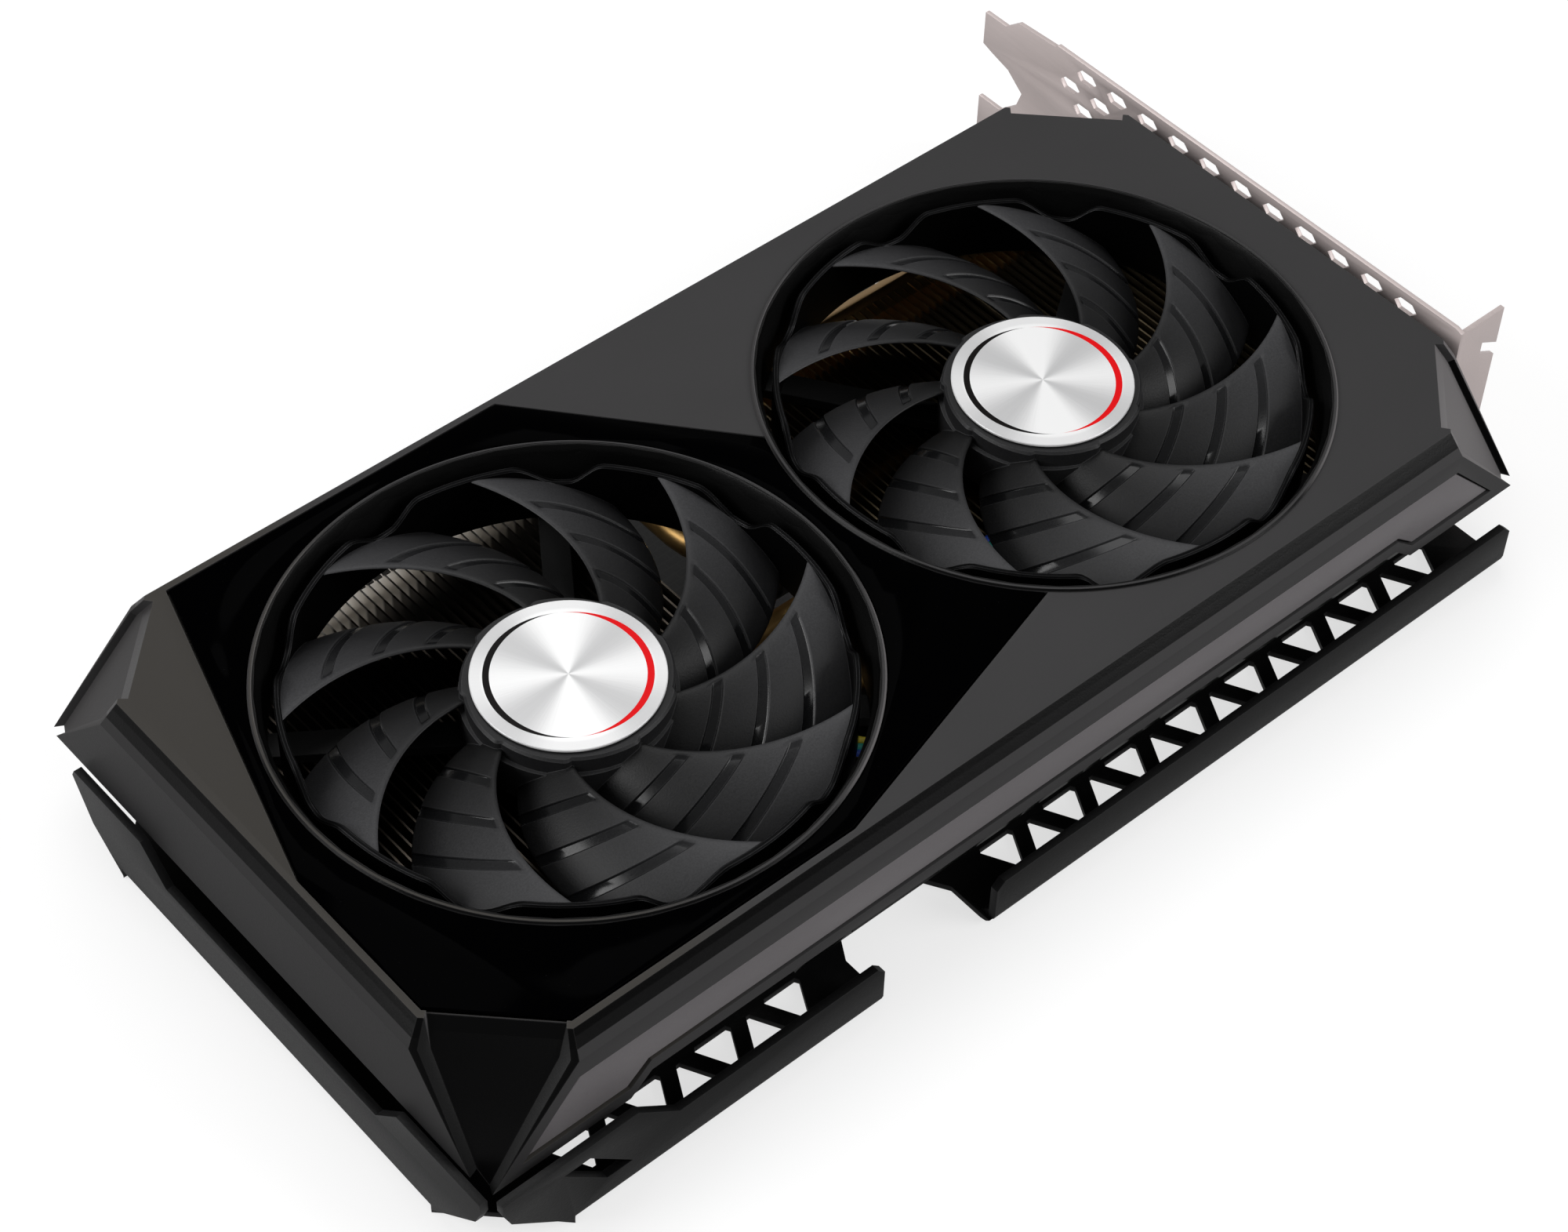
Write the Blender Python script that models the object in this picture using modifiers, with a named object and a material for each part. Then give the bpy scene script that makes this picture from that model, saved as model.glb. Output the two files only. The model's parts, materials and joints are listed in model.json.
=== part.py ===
"""A dual-fan graphics card, modelled as the pieces that it comes apart into.

The card lies on its backplate tray with the fans up. +X runs to the slot bracket, +Y to the edge
connector and +Z out of the fans. The origin is on the tray's underside, midway between the fans.
"""
import math

import bmesh
import bpy
from mathutils import Matrix, Vector

MM = 0.001

# Gap left between pieces that rest on each other, and between a shaft and its bearing
SEAT = 0.3 * MM

# Backplate tray: folded sheet with raised lips
TRAY_SHEET = 1.2 * MM
TRAY_TAIL = 116.0 * MM
TRAY_FRONT = 61.6 * MM
TRAY_REAR = 55.0 * MM
TRAY_BRACKET_GAP = 5.2 * MM
TRAY_CORNER = 15.6 * MM
TRAY_REAR_CORNER = 19.0 * MM
FOLD_RADIUS = 3.0 * MM
FOLD_STEPS = 3
LIP_SHEET = 1.5 * MM
LIP_INSET = 0.1 * MM
LIP_LOW = 10.3 * MM
LIP_TALL = 17.4 * MM
LIP_ROUND = 1.5 * MM
LIP_TIP = 2.5 * MM
LIP_TIP_LOW = 11.6 * MM
LIP_TIP_CUT = (1.4 * MM, 3.5 * MM)
LIP_END_GAP = 0.6 * MM
FRONT_LIP_STEP = (27.9 * MM, 35.9 * MM)
TAIL_LIP_LOW = 11.3 * MM
TAIL_LIP_FRONT_STEP = (22.6 * MM, 28.4 * MM)
TAIL_LIP_REAR_STEP = (14.2 * MM, 8.1 * MM)
TAIL_LIP_KNEE = (7.3 * MM, 7.3 * MM)
TAIL_LIP_LEAN = 11.4 * MM
LIP_WINDOW = (8.3 * MM, 4.9 * MM)
LIP_WINDOW_TOP = 14.4 * MM
LIP_WINDOW_LEAN = 8.0 * MM
LIP_WINDOW_START = 13.8 * MM
TRUSS_PITCH = 14.3 * MM
TRUSS_BASE = 8.0 * MM
TRUSS_REACH = (49.3 * MM, 56.8 * MM)
TRUSS_ROUND = 0.8 * MM
TRUSS_TAIL_START = 23.5 * MM
TRUSS_GAP_START = 11.95 * MM
TRUSS_MARGIN = 11.0 * MM
PLUG_GAP_CENTRE = -26.4 * MM
PLUG_GAP_WIDTH = 22.9 * MM
PLUG_GAP_BACK = 46.0 * MM
PLUG_GAP_SLANT = (3.6 * MM, 6.0 * MM)
BOSS_RADIUS = 3.2 * MM
BOSS_HEIGHT = 2.4 * MM

# Circuit board and what is soldered to it
PCB_THICK = 1.57 * MM
PCB_TAIL = -47.0 * MM
PCB_BRACKET_GAP = 4.2 * MM
PCB_FRONT = -50.0 * MM
PCB_REAR = 57.0 * MM
FINGER_DEPTH = 10.5 * MM
FINGER_BRACKET_END = 68.0 * MM
FINGER_LENGTH = 85.5 * MM
FINGER_KEY_AT = 11.65 * MM
FINGER_KEY_WIDTH = 1.9 * MM
FINGER_KEY_DEPTH = 8.0 * MM
FINGER_HOOK = 5.5 * MM
FINGER_BEVEL = 1.2 * MM
HOOK_THROAT = 2.0 * MM
SCREW_INSET = 5.5 * MM
SCREW_BRACKET_INSET = 19.8 * MM
GPU_OFFSET = 8.0 * MM
PACKAGE_SIZE = 35.0 * MM
PACKAGE_THICK = 1.2 * MM
DIE_SIZE = (19.0 * MM, 16.0 * MM)
DIE_THICK = 0.8 * MM
MEMORY_SIZE = (14.0 * MM, 12.0 * MM, 1.1 * MM)
MEMORY_RADIUS = 30.0 * MM
CHOKE_SIZE = (7.0 * MM, 7.0 * MM, 3.4 * MM)
CHOKE_PITCH = 9.5 * MM
CAN_RADIUS = 3.1 * MM
CAN_HEIGHT = 4.4 * MM
MEMORY_SPREAD = 8.4 * MM
CHOKE_COUNT = 4
CAN_COUNT = 3
CAN_PITCH = 11.4 * MM
CAN_ROW_GAP = 9.1 * MM
HEADER_SIZE = (8.0 * MM, 4.0 * MM, 4.2 * MM)
HEADER_PLACE = (-6.5 * MM, -30.0 * MM)
LEAD_RADIUS = 0.9 * MM
LEAD_SPACING = 1.6 * MM
POWER_SOCKET_SIZE = (18.8 * MM, 14.0 * MM, 10.0 * MM)
POWER_SOCKET_OVERHANG = 1.0 * MM
POWER_CELL = 3.5 * MM
POWER_CELL_PITCH = 4.2 * MM
POWER_CELL_DEPTH = 11.0 * MM
DISPLAY_SIZE = (12.0 * MM, 17.4 * MM, 7.0 * MM)
DISPLAY_WALL = 0.8 * MM
DISPLAY_DEPTH = 9.0 * MM
DISPLAY_PITCH = 22.0 * MM
DISPLAY_CENTRE = 6.0 * MM
DISPLAY_COUNT = 4

# Cooler
COLD_PLATE_SIZE = (62.0 * MM, 66.0 * MM, 2.4 * MM)
PIPE_RADIUS = 3.0 * MM
PIPE_BEND = 12.0 * MM
PIPE_TAIL = -98.0 * MM
PIPE_END_INSET = 4.1 * MM
PIPE_LANES = (-16.0 * MM, 0.0 * MM)
LOOP_PIPE_LANE = 16.0 * MM
LOOP_PIPE_REAR = 48.6 * MM
LOOP_PIPE_INSET = 5.1 * MM
FIN_BASE = 1.0 * MM
FIN_HEIGHT = 9.0 * MM
FIN_THICK = 0.8 * MM
FIN_PITCH = 7.0 * MM
FIN_FRONT = -48.0 * MM
TAIL_FIN_INSET = 6.0 * MM
TAIL_FIN_END = -19.0 * MM
TAIL_FIN_REAR = 50.0 * MM
BRACKET_FIN_START = 6.0 * MM
BRACKET_FIN_REAR = 44.4 * MM

# Fans
FAN_PITCH = 103.5 * MM
FAN_BLADES = 9
FAN_PHASES = {"tail": math.radians(33.0), "bracket": math.radians(22.0)}
SPIDER_THICK = 2.0 * MM
SPIDER_ARMS = 4
SPIDER_ANGLES = {"tail": math.radians(-35.0), "bracket": math.radians(215.0)}
SPIDER_ARM_WIDTH = 5.0 * MM
SPIDER_RADIUS = 15.0 * MM
BEARING_RADIUS = 3.6 * MM
SHAFT_RADIUS = 1.5 * MM
RUN_GAP = 1.0 * MM
ROTOR_DEPTH = 11.0 * MM
HUB_RADIUS = 17.6 * MM
HUB_WALL = 1.5 * MM
HUB_CHAMFER = 1.0 * MM
MAGNET_WALL = 0.9 * MM
STATOR_POLES = 4
STATOR_HEIGHT = 6.0 * MM
LABEL_RADIUS = 15.7 * MM
LABEL_THICK = 0.4 * MM
LABEL_DEPTH = 1.3 * MM
RING_RADIUS = 46.2 * MM
RING_WALL = 1.1 * MM
RING_LOW_TOP = 8.2 * MM
RING_HIGH_TOP = 12.2 * MM
RING_DIP = tuple(math.radians(angle) for angle in (11.0, 18.5, 20.6, 30.6))
BLADE_SWEEP = math.radians(39.0)
BLADE_CHORD = math.radians(31.0)
BLADE_THICK = 1.1 * MM
BLADE_RISE = 9.3 * MM
BLADE_ROOT_SHARE = 0.73
BLADE_LOW = 2.4 * MM
BLADE_CAMBER = 1.1 * MM

# Shroud
SHROUD_TOP_HALF = (110.0 * MM, 54.1 * MM)
SHROUD_TOP_CHAMFER = 16.0 * MM
SHROUD_BEVEL_OUT = 2.8 * MM
SHROUD_BEVEL_DOWN = 4.0 * MM
SHROUD_FLARE = (1.1 * MM, 0.5 * MM)
SHROUD_SIDE = 21.6 * MM
SHROUD_BASE_CHAMFER = 1.6 * MM
SHROUD_REAR_EXTRA = 1.1 * MM
SHROUD_BRACKET_EXTRA = (0.0, 0.6 * MM, 1.0 * MM)
SHROUD_SKIN = 2.4 * MM
SHROUD_WALL = 2.6 * MM
SHROUD_EDGE_RAISE = 3.6 * MM
SHROUD_EDGE_INSET = 28.0 * MM
SHROUD_EDGE_RUN = 4.2 * MM
FACET_RECESS = 1.3 * MM
FACET_RIM = 1.3 * MM
FACET_RIM_SHARE = 0.42
FACET_RUN_OUT = 2.0 * MM
DUCT_RADIUS = 48.3 * MM
DUCT_WALL = 1.7 * MM
DUCT_RIM = 0.4 * MM
DUCT_SIDES = 44
PANEL_THICK = 1.0 * MM
PANEL_PROUD = 0.15 * MM
PANEL_MARGIN = 1.2 * MM
PANEL_REAR_BEND = 18.0 * MM
PANEL_REAR_END = -24.5 * MM
PANEL_FRONT_END = -38.5 * MM
PANEL_TAIL_BEND = -6.8 * MM
PANEL_DUCT_ANGLES = (math.radians(157.5), math.radians(227.0))
STRIP_TOP_DOWN = 7.7 * MM
STRIP_LOW_DOWN = 19.2 * MM
STRIP_TOP_INSET = 14.5 * MM
STRIP_LOW_INSET = 3.5 * MM
STRIP_THICK = 1.0 * MM

# Slot bracket
BRACKET_SHEET = 0.9 * MM
BRACKET_LOW = 0.5 * MM
BRACKET_HEIGHT = 36.5 * MM
BRACKET_FLANGE_Y = -39.4 * MM
BRACKET_LENGTH = 120.0 * MM
BRACKET_TONGUE_WIDTH = 7.4 * MM
BRACKET_TONGUE_DOWN = 3.9 * MM
BRACKET_SLOT_PITCH = 20.32 * MM
BRACKET_SLOTS = 2
BRACKET_SHOULDER = (5.7 * MM, 8.9 * MM, 1.2 * MM)
BRACKET_TOP_STEP = (18.7 * MM, 0.6 * MM)
BRACKET_THROAT = ((10.0 * MM, 9.1 * MM), (11.2 * MM, 5.5 * MM))
BRACKET_THROAT_LIP = ((7.1 * MM, 2.2 * MM), (2.6 * MM, 0.9 * MM))
BRACKET_CUT = (1.5 * MM, 0.5 * MM)
FLANGE_REACH = 11.4 * MM
FLANGE_NOTCH = (4.3 * MM, 2.8 * MM)
FLANGE_NOTCH_LEAN = 2.4 * MM
FLANGE_NOTCH_DOWN = 8.6 * MM
VENT_HEIGHT = 2.6 * MM
VENT_PITCH = 8.0 * MM
VENT_SLOT = 5.3 * MM
VENT_ROWS = 3
VENT_COUNT = 11
VENT_FIRST = -26.8 * MM
VENT_DOWN = 2.9 * MM
VENT_ROW_GAP = 4.0 * MM
SCREW_RADIUS = 2.4 * MM
SCREW_HEAD = 1.0 * MM
SCREW_SHANK = 1.3 * MM

# Places along the card that follow from the shroud's length
SHROUD_END = SHROUD_TOP_HALF[0] + SHROUD_BEVEL_OUT + SHROUD_FLARE[0]
SHROUD_EDGE_HALF = SHROUD_TOP_HALF[0] - SHROUD_EDGE_INSET
STRIP_TOP_HALF = SHROUD_TOP_HALF[0] - STRIP_TOP_INSET
STRIP_LOW_HALF = SHROUD_TOP_HALF[0] - STRIP_LOW_INSET
BRACKET_PLANE = SHROUD_END + SEAT
TRAY_BRACKET_END = BRACKET_PLANE - TRAY_BRACKET_GAP
PCB_BRACKET_END = BRACKET_PLANE - PCB_BRACKET_GAP
SOCKET_MOUTH = BRACKET_PLANE + BRACKET_SHEET
BRACKET_FIN_END = SOCKET_MOUTH - DISPLAY_SIZE[0] - RUN_GAP
TAIL_FINS = (TAIL_FIN_INSET - SHROUD_TOP_HALF[0], TAIL_FIN_END)
BRACKET_FINS = (BRACKET_FIN_START, BRACKET_FIN_END)
PIPE_END = BRACKET_FIN_END - PIPE_END_INSET
LOOP_PIPE_END = BRACKET_FIN_END - LOOP_PIPE_INSET

# Heights that follow from the pieces below
PCB_LOW = TRAY_SHEET + BOSS_HEIGHT + SEAT
PCB_TOP = PCB_LOW + PCB_THICK
BOARD_SEAT = PCB_TOP + SEAT
PACKAGE_TOP = BOARD_SEAT + PACKAGE_THICK
DIE_TOP = PACKAGE_TOP + SEAT + DIE_THICK
COLD_PLATE_LOW = DIE_TOP + SEAT
COLD_PLATE_TOP = COLD_PLATE_LOW + COLD_PLATE_SIZE[2]
FIN_LOW = COLD_PLATE_TOP + SEAT
FIN_TOP = FIN_LOW + FIN_HEIGHT
PIPE_Z = FIN_LOW + PIPE_RADIUS
SPIDER_LOW = FIN_TOP + SEAT
SPIDER_TOP = SPIDER_LOW + SPIDER_THICK
ROTOR_LOW = SPIDER_TOP + RUN_GAP
HUB_TOP = ROTOR_LOW + ROTOR_DEPTH
LABEL_TOP = HUB_TOP + SEAT + LABEL_THICK
SHROUD_TOP = LABEL_TOP + LABEL_DEPTH
SHROUD_LOW = SHROUD_TOP - SHROUD_SIDE
SHROUD_MID_LOW = SHROUD_LOW + SHROUD_EDGE_RAISE
DUCT_LOW = SPIDER_TOP + SEAT
BRACKET_TOP = BRACKET_LOW + BRACKET_HEIGHT
FAN_X = {"tail": -FAN_PITCH / 2, "bracket": FAN_PITCH / 2}
GPU_CENTRE = (FAN_PITCH / 2 - GPU_OFFSET, 0.0)
POWER_SOCKET_FRONT = PCB_FRONT - POWER_SOCKET_OVERHANG

# Matrices that stand a flat outline up: its x and y become the named axes
FACE_XZ = Matrix(((1, 0, 0, 0), (0, 0, -1, 0), (0, 1, 0, 0), (0, 0, 0, 1)))
FACE_YZ = Matrix(((0, 0, 1, 0), (1, 0, 0, 0), (0, 1, 0, 0), (0, 0, 0, 1)))

for old in list(bpy.data.objects):
    bpy.data.objects.remove(old)


def new_collection(name):
    group = bpy.data.collections.new(name)
    bpy.context.scene.collection.children.link(group)
    return group


CARD = new_collection("graphics_card")
CUTTERS = new_collection("cutters")


def material(name, colour, roughness, metallic=0.0):
    """One Principled finish."""
    finish = bpy.data.materials.new(name)
    finish.use_nodes = True
    shader = finish.node_tree.nodes["Principled BSDF"]
    shader.inputs["Base Color"].default_value = (*colour, 1)
    shader.inputs["Roughness"].default_value = roughness
    shader.inputs["Metallic"].default_value = metallic
    return finish


def add_object(name, mesh, group=CARD):
    piece = bpy.data.objects.new(name, mesh)
    group.objects.link(piece)
    return piece


def finish_bmesh(name, form, group=CARD):
    """Turns a bmesh into a named object with its faces pointing out."""
    bmesh.ops.recalc_face_normals(form, faces=form.faces)
    mesh = bpy.data.meshes.new(name)
    form.to_mesh(mesh)
    form.free()
    return add_object(name, mesh, group)


def settled_mesh(piece):
    """The mesh of an object with its modifiers applied and its loose caps welded."""
    bpy.context.view_layer.update()
    graph = bpy.context.evaluated_depsgraph_get()
    mesh = bpy.data.meshes.new_from_object(piece.evaluated_get(graph))
    form = bmesh.new()
    form.from_mesh(mesh)
    bmesh.ops.remove_doubles(form, verts=form.verts, dist=1e-6)
    bmesh.ops.recalc_face_normals(form, faces=form.faces)
    form.to_mesh(mesh)
    form.free()
    return mesh


def settle(piece, name, group=CARD):
    """Replaces an object by a plain mesh object in the same place."""
    mesh = settled_mesh(piece)
    place = piece.matrix_world.copy()
    bpy.data.objects.remove(piece)
    mesh.name = name
    result = add_object(name, mesh, group)
    result.matrix_world = place
    return result


def box(name, low, high, group=CARD):
    form = bmesh.new()
    centre = (Vector(low) + Vector(high)) / 2
    size = Vector(high) - Vector(low)
    place = Matrix.Translation(centre) @ Matrix.Diagonal((*size, 1))
    bmesh.ops.create_cube(form, size=1, matrix=place)
    return finish_bmesh(name, form, group)


def seated_box(name, centre, size, low, group=CARD):
    """A box given by its centre in plan, its size and the height of its underside."""
    half = (size[0] / 2, size[1] / 2)
    corner = (centre[0] - half[0], centre[1] - half[1], low)
    return box(name, corner, (centre[0] + half[0], centre[1] + half[1], low + size[2]), group)


def cylinder(name, centre, radius, low, high, segments=24, group=CARD):
    form = bmesh.new()
    place = Matrix.Translation((centre[0], centre[1], (low + high) / 2))
    bmesh.ops.create_cone(form, cap_ends=True, segments=segments, radius1=radius, radius2=radius,
                          depth=high - low, matrix=place)
    return finish_bmesh(name, form, group)


def plate(name, outlines, low, high, group=CARD, stand=Matrix()):
    """A flat piece between two heights: the first outline is its edge and the others are holes."""
    curve = bpy.data.curves.new(name, "CURVE")
    curve.dimensions = "2D"
    curve.fill_mode = "BOTH"
    curve.extrude = (high - low) / 2
    for outline in outlines:
        spline = curve.splines.new("POLY")
        spline.points.add(len(outline) - 1)
        spline.use_cyclic_u = True
        for point, (x, y) in zip(spline.points, outline):
            point.co = (x, y, 0, 1)
    flat = add_object(name + "_outline", curve, group)
    flat.matrix_world = stand @ Matrix.Translation((0, 0, (low + high) / 2))
    return settle(flat, name, group)


def turned(name, profile, segments, group=CARD):
    """A shape turned about Z: the closed profile holds radius and height pairs."""
    form = bmesh.new()
    corners = [form.verts.new((radius, 0, height)) for radius, height in profile]
    for first, second in zip(corners, corners[1:] + corners[:1]):
        if first.co.x > 0 or second.co.x > 0:
            form.edges.new((first, second))
    mesh = bpy.data.meshes.new(name)
    form.to_mesh(mesh)
    form.free()
    blank = add_object(name + "_profile", mesh, group)
    screw = blank.modifiers.new("turn", "SCREW")
    screw.steps = segments
    screw.render_steps = segments
    screw.use_merge_vertices = True
    screw.merge_threshold = 1e-6
    return settle(blank, name, group)


def tube(name, points, radius, group=CARD):
    curve = bpy.data.curves.new(name, "CURVE")
    curve.dimensions = "3D"
    curve.bevel_depth = radius
    curve.bevel_resolution = 2
    curve.use_fill_caps = True
    spline = curve.splines.new("POLY")
    spline.points.add(len(points) - 1)
    for point, place in zip(spline.points, points):
        point.co = (*place, 1)
    return settle(add_object(name + "_path", curve, group), name, group)


def loft(name, sections, group=CARD):
    """A closed solid through outlines that have the same number of points."""
    form = bmesh.new()
    rings = [[form.verts.new(point) for point in section] for section in sections]
    for lower, upper in zip(rings, rings[1:]):
        for i in range(len(lower)):
            j = (i + 1) % len(lower)
            form.faces.new((lower[i], lower[j], upper[j], upper[i]))
    form.faces.new(rings[0])
    form.faces.new(rings[-1])
    return finish_bmesh(name, form, group)


def boolean(piece, tool, operation):
    """Cuts a piece with a tool or joins the tool to it; the tool becomes a hidden helper."""
    step = piece.modifiers.new(tool.name, "BOOLEAN")
    step.operation = operation
    step.object = tool
    tool.hide_render = True
    tool.display_type = "WIRE"
    for group in list(tool.users_collection):
        group.objects.unlink(tool)
    CUTTERS.objects.link(tool)


def weld(piece):
    """Closes the hairline slivers that crossing cuts can leave."""
    step = piece.modifiers.new("weld", "WELD")
    step.merge_threshold = 1e-5


def cut(piece, tool):
    boolean(piece, tool, "DIFFERENCE")


def join(piece, tool):
    boolean(piece, tool, "UNION")


def arc(centre, radius, start, end, steps):
    """Points along a circle between two angles, both ends included."""
    angles = [start + (end - start) * i / steps for i in range(steps + 1)]
    return [(centre[0] + radius * math.cos(a), centre[1] + radius * math.sin(a)) for a in angles]


def circle(centre, radius, steps):
    return arc(centre, radius, 0, 2 * math.pi * (1 - 1 / steps), steps - 1)


def rectangle(low, high):
    return [(low[0], low[1]), (high[0], low[1]), (high[0], high[1]), (low[0], high[1])]


def rounded(corners, radius, steps=2):
    """A polygon with each corner replaced by a short curve."""
    points = []
    for i, corner in enumerate(corners):
        here = Vector(corner)
        before = (Vector(corners[i - 1]) - here).normalized() * radius
        after = (Vector(corners[(i + 1) % len(corners)]) - here).normalized() * radius
        for k in range(steps + 1):
            t = k / steps
            points.append(tuple(here + before * (1 - t) ** 2 + after * t ** 2))
    return points


def chamfered(half_x, half_y, chamfer, z):
    """The eight corners of a rectangle with its corners cut at 45 degrees."""
    x, y = half_x - chamfer, half_y - chamfer
    plan = [(x, -half_y), (half_x, -y), (half_x, y), (x, half_y)]
    plan += [(-a, -b) for a, b in plan]
    return [(a, b, z) for a, b in plan]


def shade(piece, angle=math.radians(35)):
    piece.data.shade_smooth()
    piece.data.set_sharp_from_angle(angle=angle)


def shroud_sections(inset, top, low):
    """The shroud's outlines at its low edge, its bevel line and its top face, moved in by inset."""
    top_x, top_y = SHROUD_TOP_HALF
    bevel_x, bevel_y = top_x + SHROUD_BEVEL_OUT, top_y + SHROUD_BEVEL_OUT
    low_x, low_y = bevel_x + SHROUD_FLARE[0], bevel_y + SHROUD_FLARE[1]
    reach_top = top_x + top_y - SHROUD_TOP_CHAMFER
    reach_low = low_x + low_y - SHROUD_BASE_CHAMFER
    reach_bevel = reach_top + (reach_low - reach_top) * SHROUD_BEVEL_DOWN / SHROUD_SIDE
    corner = inset * math.sqrt(2)
    if inset:
        corner += FACET_RECESS * math.sqrt(2)
    heights = (low, SHROUD_TOP - SHROUD_BEVEL_DOWN, top)
    sizes = ((low_x, low_y, reach_low), (bevel_x, bevel_y, reach_bevel), (top_x, top_y, reach_top))
    sections = []
    for height, (x, y, reach) in zip(heights, sizes):
        x, y = x - inset, y - inset
        sections.append(chamfered(x, y, x + y - (reach - corner), height))
    moved = []
    for section, extra in zip(sections, SHROUD_BRACKET_EXTRA):
        moved.append([(x + (extra if x > 0 else 0), y + (SHROUD_REAR_EXTRA if y > 0 else 0), z)
                      for x, y, z in section])
    return moved


def facet_cutter():
    """Four prisms that sink the corner facets and leave a thin rim along the side bands."""
    low, bevel, top = shroud_sections(0, SHROUD_TOP, SHROUD_LOW)
    prisms = None
    for corner in range(4):
        right, left = corner * 2, corner * 2 + 1
        down = Vector(low[right]) + Vector(low[left]) - Vector(top[right]) - Vector(top[left])
        across = (Vector(top[left]) - Vector(top[right])).normalized()
        normal = across.cross(down.normalized())
        if normal.z < 0:
            normal = -normal
        inner = []
        for section, reach in ((top, FACET_RUN_OUT), (bevel, 0), (low, FACET_RUN_OUT)):
            a, b = Vector(section[right]), Vector(section[left])
            rim = min(FACET_RIM, (b - a).length * FACET_RIM_SHARE)
            drop = down.normalized() * (reach if section is low else -reach)
            inner.append((a + across * rim + drop, b - across * rim + drop))
        ring = [inner[0][0], inner[1][0], inner[2][0], inner[2][1], inner[1][1], inner[0][1]]
        near = [point - normal * FACET_RECESS for point in ring]
        far = [point + normal * FACET_RECESS * 4 for point in ring]
        prism = loft(f"facet_{corner}", [near, far], CUTTERS)
        if prisms is None:
            prisms = prism
        else:
            join(prisms, prism)
    return prisms


def panel_outline(gap):
    """The gloss panel in plan: round the tail fan, up to the bracket fan's duct, with slanted ends."""
    top_x, top_y = SHROUD_TOP_HALF
    edge = PANEL_MARGIN + gap
    x, y = top_x - edge, top_y - edge
    bend = SHROUD_TOP_CHAMFER - (math.sqrt(2) - 1) * edge
    slant = gap * 0.6
    rear = y + SHROUD_REAR_EXTRA
    rear_tail = (-x + PANEL_REAR_BEND, rear)
    tail_rear = (-x, PANEL_TAIL_BEND - slant)
    tail_front = (-x, -y + bend)
    front_tail = (-x + bend, -y)
    front_bracket = (PANEL_FRONT_END - slant, -y)
    rear_bracket = (PANEL_REAR_END - slant, rear)
    fan = (FAN_X["bracket"], 0)
    clear = DUCT_RADIUS + DUCT_WALL + SEAT
    turn = 1.4 * gap / clear
    start, end = PANEL_DUCT_ANGLES[0] + turn, PANEL_DUCT_ANGLES[1] - turn
    shoulder = arc(fan, clear, end, start, 10)
    if not gap:
        sunk = arc(fan, DUCT_RADIUS + DUCT_WALL / 2, end, start, 10)
        shoulder = [shoulder[0]] + sunk + [shoulder[-1]]
    return [rear_tail, tail_rear, tail_front, front_tail, front_bracket] + shoulder + [rear_bracket]


def strip_outline(gap):
    """The inlay strip's face, in length and height."""
    top, low = SHROUD_TOP - STRIP_TOP_DOWN, SHROUD_TOP - STRIP_LOW_DOWN
    mid = low + SHROUD_EDGE_RAISE
    half_top, half_low = STRIP_TOP_HALF - gap, STRIP_LOW_HALF - 2 * gap
    edge, run = SHROUD_EDGE_HALF + gap, SHROUD_EDGE_RUN
    right = [(edge, mid + gap), (edge + run, low + gap), (half_low, low + gap), (half_top, top - gap)]
    return right + [(-x, z) for x, z in right[::-1]]


def make_shroud():
    shroud = loft("fan_shroud", shroud_sections(0, SHROUD_TOP, SHROUD_LOW))
    hollow = loft("shroud_hollow", shroud_sections(SHROUD_WALL, SHROUD_TOP - SHROUD_SKIN,
                                                   SHROUD_LOW - SHROUD_WALL))
    cut(shroud, hollow)
    edge, run = SHROUD_EDGE_HALF, SHROUD_EDGE_RUN
    spare = SHROUD_EDGE_RAISE
    step = [(-edge - run - run, SHROUD_LOW - spare), (edge + run + run, SHROUD_LOW - spare),
            (edge, SHROUD_MID_LOW), (-edge, SHROUD_MID_LOW)]
    reach = SHROUD_TOP_HALF[1] * 2
    cut(shroud, plate("shroud_edge_step", [step], -reach, reach, CUTTERS, FACE_XZ))
    cut(shroud, facet_cutter())
    floor = SHROUD_TOP + PANEL_PROUD - PANEL_THICK - SEAT
    cut(shroud, plate("panel_pocket", [panel_outline(0)], floor, SHROUD_TOP + MM, CUTTERS))
    outer = DUCT_RADIUS + DUCT_WALL
    rim = SHROUD_TOP + DUCT_RIM
    for side, x in FAN_X.items():
        tube_profile = [(DUCT_RADIUS - DUCT_WALL, DUCT_LOW), (outer, DUCT_LOW), (outer, SHROUD_TOP),
                        (outer - DUCT_RIM, rim), (DUCT_RADIUS - DUCT_WALL, rim)]
        duct = turned(f"duct_{side}", tube_profile, DUCT_SIDES, CUTTERS)
        duct.location.x = x
        join(shroud, duct)
        bore_profile = [(0, rim + MM), (outer - DUCT_RIM, rim + MM),
                        (DUCT_RADIUS, SHROUD_TOP - DUCT_WALL), (DUCT_RADIUS, DUCT_LOW - MM),
                        (0, DUCT_LOW - MM)]
        bore = turned(f"duct_bore_{side}", bore_profile, DUCT_SIDES, CUTTERS)
        bore.location.x = x
        cut(shroud, bore)
    side = SHROUD_TOP_HALF[1] + SHROUD_BEVEL_OUT
    cut(shroud, plate("strip_pocket", [strip_outline(0)], side - STRIP_THICK - SEAT,
                      side + SHROUD_BEVEL_OUT, CUTTERS, FACE_XZ))
    weld(shroud)
    shroud.data.materials.append(material("shroud_plastic", (0.035, 0.034, 0.036), 0.55))
    return shroud


def make_panel():
    top = SHROUD_TOP + PANEL_PROUD
    hole = circle((FAN_X["tail"], 0), DUCT_RADIUS + DUCT_WALL + SEAT, DUCT_SIDES)
    panel = plate("gloss_panel", [panel_outline(SEAT), hole], top - PANEL_THICK, top)
    panel.data.materials.append(material("gloss_black", (0.004, 0.004, 0.005), 0.08))


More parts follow.
